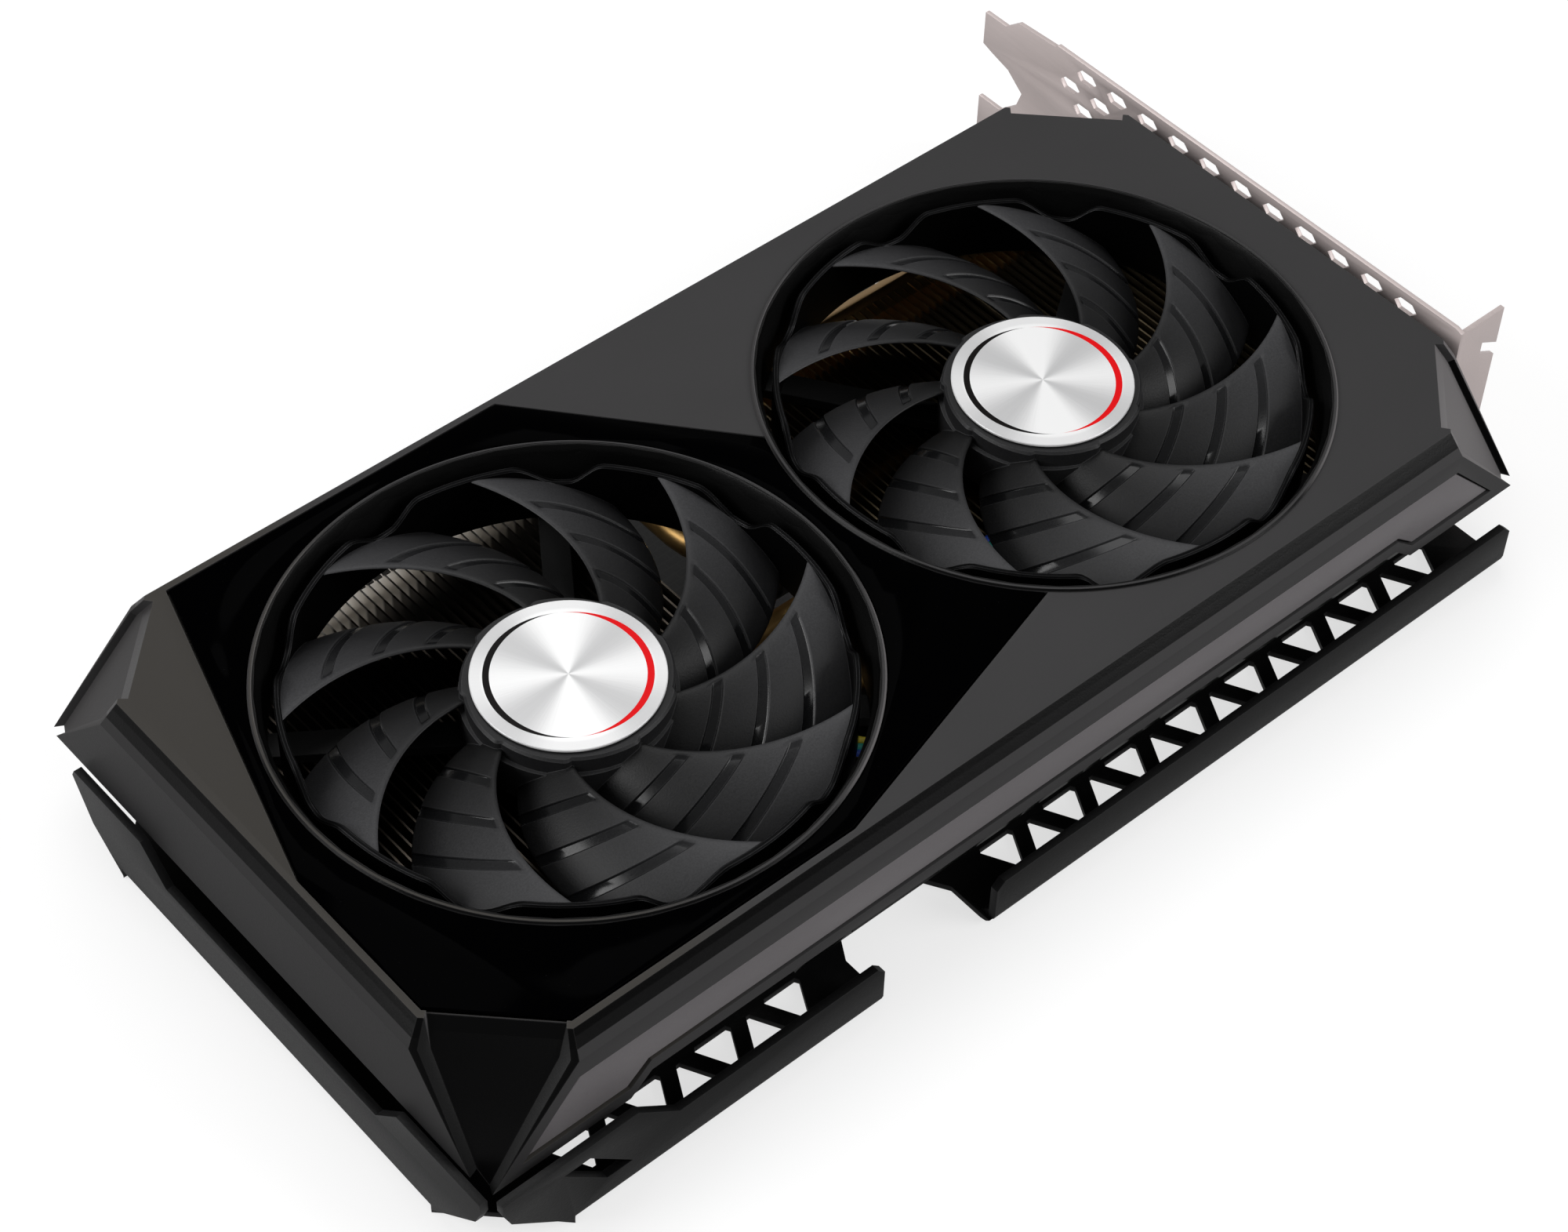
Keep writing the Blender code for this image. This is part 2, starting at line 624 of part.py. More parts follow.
def make_strip():
    side = SHROUD_TOP_HALF[1] + SHROUD_BEVEL_OUT
    strip = plate("side_inlay", [strip_outline(SEAT)], side - STRIP_THICK, side, CARD, FACE_XZ)
    strip.data.materials.append(material("inlay_grey", (0.13, 0.12, 0.125), 0.5))


def blade_point(s, c):
    """A point of one blade: s runs from the hub to the ring, c from trailing to leading edge."""
    inner, outer = HUB_RADIUS - HUB_WALL * 0.6, RING_RADIUS - RING_WALL * 0.5
    radius = inner + (outer - inner) * s
    angle = BLADE_SWEEP * (s - 1) - BLADE_CHORD * (1 - c)
    rise = BLADE_RISE * (BLADE_ROOT_SHARE + (1 - BLADE_ROOT_SHARE) * s)
    height = BLADE_LOW + rise * c + BLADE_CAMBER * math.sin(math.pi * c)
    return Vector((radius * math.cos(angle), radius * math.sin(angle), height))


def make_blades():
    """All blades of one rotor, each a swept sheet given its thickness."""
    spans, chords = 5, 3
    form = bmesh.new()
    for blade in range(FAN_BLADES):
        turn = Matrix.Rotation(2 * math.pi * blade / FAN_BLADES, 3, "Z")
        rows = []
        for i in range(spans + 1):
            row = [form.verts.new(turn @ blade_point(i / spans, j / chords)) for j in range(chords + 1)]
            rows.append(row)
        for lower, upper in zip(rows, rows[1:]):
            for j in range(chords):
                form.faces.new((lower[j], upper[j], upper[j + 1], lower[j + 1]))
    blank = finish_bmesh("blade_sheets", form, CUTTERS)
    solid = blank.modifiers.new("thickness", "SOLIDIFY")
    solid.thickness = BLADE_THICK
    solid.offset = 0
    return settle(blank, "blades", CUTTERS)


def ring_top(angle):
    """Height of the ring's edge: level round each blade's leading tip, with a dip between the tips."""
    turn = angle % (2 * math.pi / FAN_BLADES)
    fall, low, climb, level = RING_DIP
    share = 1 - (turn - fall) / (low - fall) if turn < low else (turn - climb) / (level - climb)
    share = min(1.0, max(0.0, share))
    ease = share * share * (3 - 2 * share)
    return RING_LOW_TOP + (RING_HIGH_TOP - RING_LOW_TOP) * ease


def make_ring():
    steps = FAN_BLADES * 6
    profile = [(RING_RADIUS - RING_WALL, 0), (RING_RADIUS, 0), (RING_RADIUS, RING_HIGH_TOP),
               (RING_RADIUS - RING_WALL, RING_HIGH_TOP)]
    ring = turned("ring", profile, steps, CUTTERS)
    for corner in ring.data.vertices:
        if corner.co.z > RING_HIGH_TOP / 2:
            corner.co.z = ring_top(math.atan2(corner.co.y, corner.co.x))
    return ring


def make_rotor_mesh():
    """Hub, blades and ring as one moulding, in the rotor's own frame with its low edge at zero."""
    inner = HUB_RADIUS - HUB_WALL
    roof = ROTOR_DEPTH - HUB_WALL
    boss = SHAFT_RADIUS + SEAT + HUB_WALL
    profile = [(0, ROTOR_DEPTH), (HUB_RADIUS - HUB_CHAMFER, ROTOR_DEPTH),
               (HUB_RADIUS, ROTOR_DEPTH - HUB_CHAMFER), (HUB_RADIUS, 0), (inner, 0), (inner, roof),
               (boss, roof), (boss, roof - HUB_WALL), (SHAFT_RADIUS + SEAT, roof - HUB_WALL),
               (SHAFT_RADIUS + SEAT, roof), (0, roof)]
    hub = turned("rotor", profile, 36)
    join(hub, make_blades())
    join(hub, make_ring())
    mesh = settled_mesh(hub)
    bpy.data.objects.remove(hub)
    for tool in ("blades", "ring"):
        bpy.data.objects.remove(bpy.data.objects[tool])
    return mesh


def make_fan(side, rotor_mesh, finishes):
    """One fan: its fixed spider and stator, and the turning rotor, magnet, shaft and label."""
    x = FAN_X[side]
    axis = bpy.data.objects.new(f"{side}_fan_axis", None)
    axis.location = (x, 0, ROTOR_LOW)
    CARD.objects.link(axis)

    rotor = add_object(f"{side}_fan_rotor", rotor_mesh)
    inner = HUB_RADIUS - HUB_WALL - SEAT
    roof = ROTOR_DEPTH - HUB_WALL - SEAT
    magnet_low = RUN_GAP
    magnet = turned(f"{side}_fan_magnet", [(inner - MAGNET_WALL, magnet_low), (inner, magnet_low),
                                           (inner, roof), (inner - MAGNET_WALL, roof)], 24)
    shaft_low = SPIDER_LOW + SEAT - ROTOR_LOW
    shaft = cylinder(f"{side}_fan_shaft", (0, 0), SHAFT_RADIUS, shaft_low, roof, 16)
    label = cylinder(f"{side}_hub_label", (0, 0), LABEL_RADIUS, ROTOR_DEPTH + SEAT,
                     ROTOR_DEPTH + SEAT + LABEL_THICK, 36)
    for piece in (rotor, magnet, shaft, label):
        piece.parent = axis
    rotor.rotation_euler.z = FAN_PHASES[side]

    reach = DUCT_RADIUS + DUCT_WALL
    arms = []
    half = SPIDER_ARM_WIDTH / 2
    for i in range(SPIDER_ARMS):
        turn = Matrix.Rotation(SPIDER_ANGLES[side] + 2 * math.pi * i / SPIDER_ARMS, 2)
        bar = [(SPIDER_RADIUS * 0.9, -half), (reach, -half), (reach, half), (SPIDER_RADIUS * 0.9, half)]
        arms.append([tuple(turn @ Vector(point)) for point in bar])
    bearing = BEARING_RADIUS
    bore = SHAFT_RADIUS + SEAT
    bearing_top = ROTOR_LOW + ROTOR_DEPTH - 2 * HUB_WALL - RUN_GAP
    profile = [(bore, SPIDER_LOW), (SPIDER_RADIUS, SPIDER_LOW), (SPIDER_RADIUS, SPIDER_TOP),
               (bearing, SPIDER_TOP), (bearing, bearing_top), (bore, bearing_top)]
    spider = turned(f"{side}_fan_spider", profile, 24)
    spider.location.x = x
    for i, outline in enumerate(arms):
        bar = plate(f"{side}_arm_{i}", [outline], SPIDER_LOW, SPIDER_TOP, CUTTERS)
        bar.location.x = x
        join(spider, bar)

    outer = inner - MAGNET_WALL - RUN_GAP
    star = []
    for i in range(STATOR_POLES):
        middle = 2 * math.pi * i / STATOR_POLES
        wide = math.pi / STATOR_POLES
        star += arc((0, 0), outer, middle - wide * 0.82, middle + wide * 0.82, 5)
        star += arc((0, 0), outer * 0.62, middle + wide * 0.88, middle + wide * 1.12, 2)
    stator = plate(f"{side}_fan_stator", [star, circle((0, 0), bearing + SEAT, 24)],
                   SPIDER_TOP + SEAT, SPIDER_TOP + SEAT + STATOR_HEIGHT)
    stator.location.x = x

    looks = ((rotor, "fan"), (magnet, "magnet"), (shaft, "steel"), (label, "label"),
             (spider, "black"), (stator, "winding"))
    for piece, finish in looks:
        piece.data.materials.append(finishes[finish])
        if piece is not rotor or side == "tail":
            shade(piece)


def fin_comb(start, end):
    """A finned block's outline in length and height: a base with evenly spaced upright fins."""
    count = int((end - start - FIN_THICK) / FIN_PITCH) + 1
    base = FIN_LOW + FIN_BASE
    length = (count - 1) * FIN_PITCH + FIN_THICK
    points = [(start, FIN_LOW), (start + length, FIN_LOW)]
    for i in range(count - 1, -1, -1):
        x = start + i * FIN_PITCH
        points += [(x + FIN_THICK, FIN_TOP), (x, FIN_TOP)]
        if i:
            points += [(x, base), (x - FIN_PITCH + FIN_THICK, base)]
    return points


def make_fins(finish):
    lanes = sorted((*PIPE_LANES, LOOP_PIPE_LANE))
    half = PIPE_RADIUS + SEAT
    stacks = (("tail_fin_stack", TAIL_FINS, TAIL_FIN_REAR),
              ("bracket_fin_stack", BRACKET_FINS, BRACKET_FIN_REAR))
    for name, (start, end), rear in stacks:
        stack = plate(name, [fin_comb(start, end)], -rear, -FIN_FRONT, CARD, FACE_XZ)
        for i, lane in enumerate(lanes):
            if name == "tail_fin_stack" and lane == LOOP_PIPE_LANE:
                continue
            groove = box(f"{name}_groove_{i}", (start - MM, lane - half, FIN_LOW - MM),
                         (end + MM, lane + half, PIPE_Z + half), CUTTERS)
            cut(stack, groove)
        if name == "tail_fin_stack":
            corner = PLUG_GAP_CENTRE - POWER_SOCKET_SIZE[0] / 2 - RUN_GAP
            back = POWER_SOCKET_FRONT + POWER_SOCKET_SIZE[1] + RUN_GAP
            cut(stack, box("power_notch", (corner, FIN_FRONT - MM, FIN_LOW - MM),
                           (end + MM, back, FIN_TOP + MM), CUTTERS))
        stack.data.materials.append(finish)


def make_pipes(finish):
    for i, lane in enumerate(PIPE_LANES):
        ends = ((PIPE_TAIL, lane, PIPE_Z), (PIPE_END, lane, PIPE_Z))
        pipe = tube(f"heat_pipe_{i + 1}", ends, PIPE_RADIUS)
        pipe.data.materials.append(finish)
        shade(pipe)
    bend = PIPE_BEND
    middle = (TAIL_FINS[1] + BRACKET_FINS[0]) / 2
    near, far = LOOP_PIPE_LANE, LOOP_PIPE_REAR
    route = [(LOOP_PIPE_END, near)]
    route += arc((middle + bend, near + bend), bend, -math.pi / 2, -math.pi, 6)
    route += arc((middle + bend, far - bend), bend, math.pi, math.pi / 2, 6)
    route += [(LOOP_PIPE_END, far)]
    loop = tube("heat_pipe_loop", [(x, y, PIPE_Z) for x, y in route], PIPE_RADIUS)
    loop.data.materials.append(finish)
    shade(loop)


def make_board():
    """The circuit board with its edge connector, key slot and retention hook."""
    end, rear = FINGER_BRACKET_END, PCB_REAR
    tail = end - FINGER_LENGTH
    tip = rear + FINGER_DEPTH
    bevel = FINGER_BEVEL
    key = end - FINGER_KEY_AT
    key_end = key - FINGER_KEY_WIDTH
    notch = tip - FINGER_KEY_DEPTH
    hook = FINGER_HOOK
    throat = rear + HOOK_THROAT
    edge = [(PCB_TAIL, PCB_FRONT), (PCB_BRACKET_END, PCB_FRONT), (PCB_BRACKET_END, rear), (end, rear),
            (end, tip - bevel), (end - bevel, tip), (key + bevel, tip), (key, tip - bevel),
            (key, notch), (key_end, notch), (key_end, tip - bevel), (key_end - bevel, tip),
            (tail + bevel, tip), (tail, tip - bevel), (tail, throat), (tail - hook / 2, throat),
            (tail - hook / 2, rear + hook), (tail - hook, rear + hook), (tail - hook, rear),
            (PCB_TAIL, rear)]
    holes = [circle(place, SCREW_SHANK + SEAT, 12) for place in board_screws()]
    board = plate("circuit_board", [edge] + holes, PCB_LOW, PCB_TOP)
    board.data.materials.append(material("solder_mask", (0.006, 0.008, 0.007), 0.35))


def board_screws():
    """Where screws hold the board to the tray's bosses."""
    inset = SCREW_INSET
    return [(x, y) for x in (PCB_TAIL + inset, PCB_BRACKET_END - SCREW_BRACKET_INSET)
            for y in (PCB_FRONT + inset, PCB_REAR - inset)]


def make_components(finishes):
    """The chips, coils, cans and header that stand on the board."""
    x, y = GPU_CENTRE
    package_size = (PACKAGE_SIZE, PACKAGE_SIZE, PACKAGE_THICK)
    package = seated_box("gpu_package", GPU_CENTRE, package_size, BOARD_SEAT)
    package.data.materials.append(finishes["package"])
    die = seated_box("gpu_die", GPU_CENTRE, (*DIE_SIZE, DIE_THICK), PACKAGE_TOP + SEAT)
    die.data.materials.append(finishes["die"])
    plate_piece = seated_box("cold_plate", GPU_CENTRE, COLD_PLATE_SIZE, COLD_PLATE_LOW)
    plate_piece.data.materials.append(finishes["copper"])
    places = []
    for sign in (-1, 1):
        places.append((x + sign * MEMORY_RADIUS, y - MEMORY_SPREAD))
        places.append((x + sign * MEMORY_RADIUS, y + MEMORY_SPREAD))
        places.append((x, y + sign * MEMORY_RADIUS))
    for i, place in enumerate(places):
        chip = seated_box(f"memory_chip_{i + 1}", place, MEMORY_SIZE, BOARD_SEAT)
        chip.data.materials.append(finishes["chip"])
    row = x - MEMORY_RADIUS - MEMORY_SIZE[0]
    for i in range(CHOKE_COUNT):
        place = (row, (i - (CHOKE_COUNT - 1) / 2) * CHOKE_PITCH)
        coil = seated_box(f"choke_{i + 1}", place, CHOKE_SIZE, BOARD_SEAT)
        coil.data.materials.append(finishes["choke"])
    can_top = BOARD_SEAT + CAN_HEIGHT
    for i in range(CAN_COUNT):
        place = (row - CAN_ROW_GAP, (i - (CAN_COUNT - 1) / 2) * CAN_PITCH)
        can = cylinder(f"capacitor_{i + 1}", place, CAN_RADIUS, BOARD_SEAT, can_top, 14)
        can.data.materials.append(finishes["can"])
        shade(can)
    header = seated_box("fan_header", HEADER_PLACE, HEADER_SIZE, BOARD_SEAT)
    header.data.materials.append(finishes["socket"])


def make_power_socket(finish):
    """The power socket at the board's front edge: a block with a grid of square cells."""
    width, depth, height = POWER_SOCKET_SIZE
    front = POWER_SOCKET_FRONT
    socket = box("power_socket", (PLUG_GAP_CENTRE - width / 2, front, BOARD_SEAT),
                 (PLUG_GAP_CENTRE + width / 2, front + depth, BOARD_SEAT + height))
    cells = []
    for column in range(4):
        for row in range(2):
            cx = PLUG_GAP_CENTRE + (column - 1.5) * POWER_CELL_PITCH
            cz = BOARD_SEAT + height / 2 + (row - 0.5) * POWER_CELL_PITCH
            half = POWER_CELL / 2
            cells.append(rectangle((cx - half, cz - half), (cx + half, cz + half)))
    cut(socket, plate("power_cells", cells, -front - POWER_CELL_DEPTH, -front + MM, CUTTERS, FACE_XZ))
    socket.data.materials.append(finish)


def display_places():
    middle = (DISPLAY_COUNT - 1) / 2
    return [DISPLAY_CENTRE + (i - middle) * DISPLAY_PITCH for i in range(DISPLAY_COUNT)]


def make_display_sockets(finish):
    depth, width, height = DISPLAY_SIZE
    mouth = SOCKET_MOUTH
    for i, y in enumerate(display_places()):
        socket = box(f"display_socket_{i + 1}", (mouth - depth, y - width / 2, BOARD_SEAT),
                     (mouth, y + width / 2, BOARD_SEAT + height))
        half = width / 2 - DISPLAY_WALL
        deep = (mouth - DISPLAY_DEPTH, y - half, BOARD_SEAT + DISPLAY_WALL)
        open_end = (mouth + MM, y + half, BOARD_SEAT + height - DISPLAY_WALL)
        cut(socket, box(f"display_hollow_{i + 1}", deep, open_end, CUTTERS))
        socket.data.materials.append(finish)


def truss_holes():
    """Triangles of alternating direction along the tray's front edge, on both sides of the plug gap."""
    near, far = TRUSS_REACH
    half = TRUSS_PITCH / 2
    left = PLUG_GAP_CENTRE - PLUG_GAP_WIDTH / 2
    right = PLUG_GAP_CENTRE + PLUG_GAP_WIDTH / 2
    spans = ((TRUSS_TAIL_START - TRAY_TAIL, left), (right + TRUSS_GAP_START, TRAY_BRACKET_END))
    holes = []
    for first, end in spans:
        count = int((end - TRUSS_MARGIN - first) / half) + 1
        for i in range(count):
            x = first + i * half
            wide, point = (-near, -far) if i % 2 == 0 else (-far, -near)
            corners = [(x - TRUSS_BASE / 2, wide), (x + TRUSS_BASE / 2, wide), (x, point)]
            holes.append(rounded(corners, TRUSS_ROUND, 1))
    return holes


def fold_outlines(face):
    """Across a fold with its outer face at the given place: what rounds it and what fills it."""
    radius, shift = FOLD_RADIUS, LIP_INSET / 2
    curve = []
    for i in range(FOLD_STEPS + 1):
        turn = math.pi / 2 * i / FOLD_STEPS
        across = radius - radius * math.sin(turn) - shift
        curve.append((face + across, radius - radius * math.cos(turn) - shift))
    outside = curve + [(face - radius, radius), (face - radius, -radius), (curve[0][0], -radius)]
    wall, root = LIP_INSET + LIP_SHEET / 2, TRAY_SHEET / 2
    inside = [(face + wall, root), (face + wall + radius, root), (face + wall, root + radius)]
    return outside, inside


def front_lip(end):
    """The tall tail end of the front lip with its slanted window, in length and height."""
    tip = -TRAY_TAIL + LIP_TIP
    tall, low = (distance - TRAY_TAIL for distance in FRONT_LIP_STEP)
    root = TRAY_SHEET / 2
    edge = [(-TRAY_TAIL + TRAY_CORNER, root), (end, root), (end, LIP_LOW - LIP_ROUND),
            (end - LIP_ROUND, LIP_LOW), (low, LIP_LOW), (tall, LIP_TALL), (tip, LIP_TALL),
            (tip, LIP_TIP_LOW + LIP_TIP_CUT[1]), (tip + LIP_TIP_CUT[0], LIP_TIP_LOW)]
    drop, width = LIP_WINDOW
    x, top = LIP_WINDOW_START - TRAY_TAIL, LIP_WINDOW_TOP
    foot = x + LIP_WINDOW_LEAN
    window = [(x, top), (x + width, top), (foot + width, top - drop), (foot, top - drop)]
    return [edge, window]


def tail_lip():
    """The tail lip in width and height: low in the middle, slanted away at both ends."""
    front, rear = -TRAY_FRONT, TRAY_REAR - TRAY_REAR_CORNER
    tip = front + LIP_TIP
    rear_tip = rear + TAIL_LIP_LEAN
    front_tall, front_low = (front + distance for distance in TAIL_LIP_FRONT_STEP)
    rear_low, rear_tall = (rear - distance for distance in TAIL_LIP_REAR_STEP)
    root = TRAY_SHEET / 2
    return [(front + TRAY_CORNER, root), (rear, root), (rear + TAIL_LIP_KNEE[0], TAIL_LIP_KNEE[1]),
            (rear_tip, LIP_TALL - LIP_ROUND), (rear_tip - LIP_ROUND / 2, LIP_TALL),
            (rear_tall, LIP_TALL), (rear_low, TAIL_LIP_LOW), (front_low, TAIL_LIP_LOW),
            (front_tall, LIP_TALL), (tip, LIP_TALL), (tip, LIP_TIP_LOW + LIP_TIP_CUT[1]),
            (tip + LIP_TIP_CUT[0], LIP_TIP_LOW)]


def make_tray(finish):
    """The backplate: a floor with truss holes and a plug gap, folded up at the tail and front."""
    corner, rear_corner = TRAY_CORNER, TRAY_REAR_CORNER
    left = PLUG_GAP_CENTRE - PLUG_GAP_WIDTH / 2
    right = PLUG_GAP_CENTRE + PLUG_GAP_WIDTH / 2
    front, tail, back = -TRAY_FRONT, -TRAY_TAIL, -PLUG_GAP_BACK
    slant, run = PLUG_GAP_SLANT
    edge = [(tail, front + corner), (tail + corner, front), (left, front), (left, back - run),
            (left + slant, back), (right - slant, back), (right, back - run), (right, front),
            (TRAY_BRACKET_END, front), (TRAY_BRACKET_END, TRAY_REAR), (tail + rear_corner, TRAY_REAR),
            (tail, TRAY_REAR - rear_corner)]
    tray = plate("backplate_tray", [edge], 0, TRAY_SHEET)
    cut(tray, plate("truss", truss_holes(), -MM, TRAY_SHEET + MM, CUTTERS))

    root, step = TRAY_SHEET / 2, LIP_INSET
    inner, outer = TRAY_FRONT - step - LIP_SHEET, TRAY_FRONT - step
    left_end, right_end = left - LIP_END_GAP, right + LIP_END_GAP
    bracket_end = TRAY_BRACKET_END - step
    low_lip = [(right_end, root), (bracket_end, root), (bracket_end, LIP_LOW - LIP_ROUND),
               (bracket_end - LIP_ROUND, LIP_LOW), (right_end + LIP_ROUND, LIP_LOW),
               (right_end, LIP_LOW - LIP_ROUND)]
    join(tray, plate("front_lip_tail", front_lip(left_end), inner, outer, CUTTERS, FACE_XZ))
    join(tray, plate("front_lip_bracket", [low_lip], inner, outer, CUTTERS, FACE_XZ))
    join(tray, plate("tail_lip", [tail_lip()], tail + step, tail + step + LIP_SHEET, CUTTERS, FACE_YZ))

    outside, inside = fold_outlines(front)
    spans = ((tail + corner + FOLD_RADIUS, left_end - step), (right_end + step, bracket_end - step))
    for i, (start, end) in enumerate(spans):
        join(tray, plate(f"front_fold_{i}", [inside], start, end, CUTTERS, FACE_YZ))
    cut(tray, plate("front_round", [outside], tail + corner - step, TRAY_BRACKET_END + MM, CUTTERS,
                    FACE_YZ))
    outside, inside = fold_outlines(tail)
    start, end = front + corner, TRAY_REAR - rear_corner
    fold = FOLD_RADIUS
    join(tray, plate("tail_fold", [inside], -end + fold, -start - fold, CUTTERS, FACE_XZ))
    cut(tray, plate("tail_round", [outside], -end - step, -start + step, CUTTERS, FACE_XZ))

    for i, place in enumerate(board_screws()):
        top = TRAY_SHEET + BOSS_HEIGHT
        join(tray, cylinder(f"boss_{i}", place, BOSS_RADIUS, root, top, 12, CUTTERS))
        cut(tray, cylinder(f"boss_hole_{i}", place, SCREW_SHANK + SEAT, -MM, top + MM, 8, CUTTERS))
    weld(tray)
    tray.data.materials.append(finish)


def make_screws(finish):
    """Screws through the board into the tray's bosses."""
    head_low = PCB_TOP + SEAT
    head_top = head_low + SCREW_HEAD
    profile = [(0, head_top), (SCREW_RADIUS, head_top), (SCREW_RADIUS, head_low),
               (SCREW_SHANK, head_low), (SCREW_SHANK, TRAY_SHEET), (0, TRAY_SHEET)]
    for i, place in enumerate(board_screws()):
        screw = turned(f"board_screw_{i + 1}", profile, 10)
        screw.location = (*place, 0)
        screw.data.materials.append(finish)
        shade(screw)


def bracket_vents():
    """Staggered rows of slots above the sockets, in width and height."""
    holes = []
    half = VENT_HEIGHT / 2
    straight = VENT_SLOT / 2 - half
    quarter = math.pi / 2
    for row in range(VENT_ROWS):
        z = BRACKET_TOP - VENT_DOWN - row * VENT_ROW_GAP
        for i in range(VENT_COUNT):
            y = VENT_FIRST + (i + row % 2 / 2) * VENT_PITCH
            slot = arc((y + straight, z), half, -quarter, quarter, 2)
            holes.append(slot + arc((y - straight, z), half, quarter, 3 * quarter, 2))
    return holes


def bracket_outline():
    """The bracket's flat edge with its two tongues, in width and height."""
    low, top = BRACKET_LOW, BRACKET_TOP
    head = BRACKET_FLANGE_Y
    foot = head + BRACKET_LENGTH
    edge = [(head, low), (foot - BRACKET_THROAT[-1][0], low)]
    shoulder, shoulder_top, shoulder_down = BRACKET_SHOULDER
    for slot in range(BRACKET_SLOTS):
        upper = top - BRACKET_TONGUE_DOWN - (BRACKET_SLOTS - 1 - slot) * BRACKET_SLOT_PITCH
        lower = upper - BRACKET_TONGUE_WIDTH
        throat = BRACKET_THROAT_LIP if slot == 0 else BRACKET_THROAT + BRACKET_THROAT_LIP
        edge += [(foot - back, lower - down) for back, down in throat]
        edge += [(foot, lower), (foot, upper), (foot - shoulder, upper)]
    step_back, step_down = BRACKET_TOP_STEP
    cut_y, cut_z = BRACKET_CUT
    edge += [(foot - shoulder_top, top - shoulder_down), (foot - step_back, top - step_down),
             (foot - step_back - step_down, top), (head + cut_y, top), (head, top - cut_z)]
    return edge


def make_bracket(finish):
    """The two-slot bracket: a plate with tongues, socket cut-outs and vents, and a bent screw flange."""
    width, height = DISPLAY_SIZE[1] / 2 + SEAT, DISPLAY_SIZE[2] + SEAT
    sockets = [rectangle((y - width, BOARD_SEAT - SEAT), (y + width, BOARD_SEAT + height))
               for y in display_places()]
    inner, outer = BRACKET_PLANE, BRACKET_PLANE + BRACKET_SHEET
    bracket = plate("slot_bracket", [bracket_outline()], inner, outer, CARD, FACE_YZ)
    openings = sockets + bracket_vents()
    cut(bracket, plate("bracket_openings", openings, inner - MM, outer + MM, CUTTERS, FACE_YZ))
    low, top = BRACKET_LOW + SEAT, BRACKET_TOP - BRACKET_CUT[1]
    deep, wide = FLANGE_NOTCH
    out = inner + FLANGE_REACH
    root = (inner + outer) / 2
    flange = [(root, low), (out, low)]
    for slot in range(BRACKET_SLOTS):
        z = top - FLANGE_NOTCH_DOWN - (BRACKET_SLOTS - 1 - slot) * BRACKET_SLOT_PITCH
        lean = z + FLANGE_NOTCH_LEAN
        flange += [(out, z - wide), (out - deep, lean - wide), (out - deep, lean), (out, z)]
    flange += [(out, top - SEAT), (root, top - SEAT)]
    bend = -BRACKET_FLANGE_Y - SEAT / 3
    join(bracket, plate("flange", [flange], bend - BRACKET_SHEET, bend, CUTTERS, FACE_XZ))
    weld(bracket)
    bracket.data.materials.append(finish)


def make_leads(finish):
    """The fan leads, held inside: each runs from a spider arm's tip to the header on the board."""
    x, y = HEADER_PLACE
    top = BOARD_SEAT + HEADER_SIZE[2] + SEAT
    level = (SPIDER_LOW + SPIDER_TOP) / 2
    for side, shift in (("tail", -LEAD_SPACING), ("bracket", LEAD_SPACING)):
        angle = SPIDER_ANGLES[side]
        reach = DUCT_RADIUS + DUCT_WALL + SEAT + LEAD_RADIUS
        start = Vector((FAN_X[side] + reach * math.cos(angle), reach * math.sin(angle), level))
        end = Vector((x + shift, y, top))
        over = Vector((x + 1.5 * shift, y, level))
        above = end + Vector((0, 0, 4 * LEAD_RADIUS))
        lead = tube(f"{side}_fan_lead", [start, over, above, end], LEAD_RADIUS)
        lead.data.materials.append(finish)


def make_card():
    copper = material("copper_pipe", (0.55, 0.27, 0.13), 0.3, 1.0)
    make_shroud()
    make_panel()
    make_strip()
    finishes = {
        "fan": material("fan_plastic", (0.03, 0.03, 0.032), 0.4),
        "black": material("black_plastic", (0.012, 0.012, 0.012), 0.5),
        "magnet": material("ferrite", (0.05, 0.05, 0.055), 0.5, 0.4),
        "steel": material("shaft_steel", (0.6, 0.6, 0.6), 0.25, 1.0),
        "label": material("brushed_label", (0.75, 0.75, 0.76), 0.3, 1.0),
        "winding": material("winding", (0.35, 0.16, 0.07), 0.4, 0.6),
        "package": material("package_green", (0.02, 0.06, 0.03), 0.4),
        "die": material("silicon", (0.1, 0.11, 0.13), 0.12, 0.5),
        "copper": copper,
        "chip": material("chip_epoxy", (0.015, 0.015, 0.016), 0.45),
        "choke": material("choke_grey", (0.08, 0.08, 0.085), 0.5),
        "can": material("can_aluminium", (0.7, 0.7, 0.72), 0.3, 1.0),
        "socket": material("socket_black", (0.01, 0.01, 0.011), 0.4),
    }
    rotor_mesh = make_rotor_mesh()
    for side in FAN_X:
        make_fan(side, rotor_mesh, finishes)
    make_fins(material("fin_aluminium", (0.45, 0.46, 0.48), 0.35, 1.0))
    make_pipes(copper)
    make_board()
    make_components(finishes)
    make_power_socket(finishes["socket"])
    make_display_sockets(material("socket_shell", (0.62, 0.6, 0.58), 0.3, 1.0))
    make_tray(material("tray_black", (0.03, 0.03, 0.032), 0.45, 0.3))
    make_screws(finishes["steel"])
    make_bracket(material("bracket_steel", (0.6, 0.57, 0.56), 0.35, 1.0))
    make_leads(material("lead_sleeve", (0.02, 0.02, 0.02), 0.6))


make_card()
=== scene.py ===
"""Looks of a dual-fan graphics card: its finishes, finely shaped fans and fins, light and camera."""

import json
import math

import bmesh
import bpy
from mathutils import Matrix, Vector


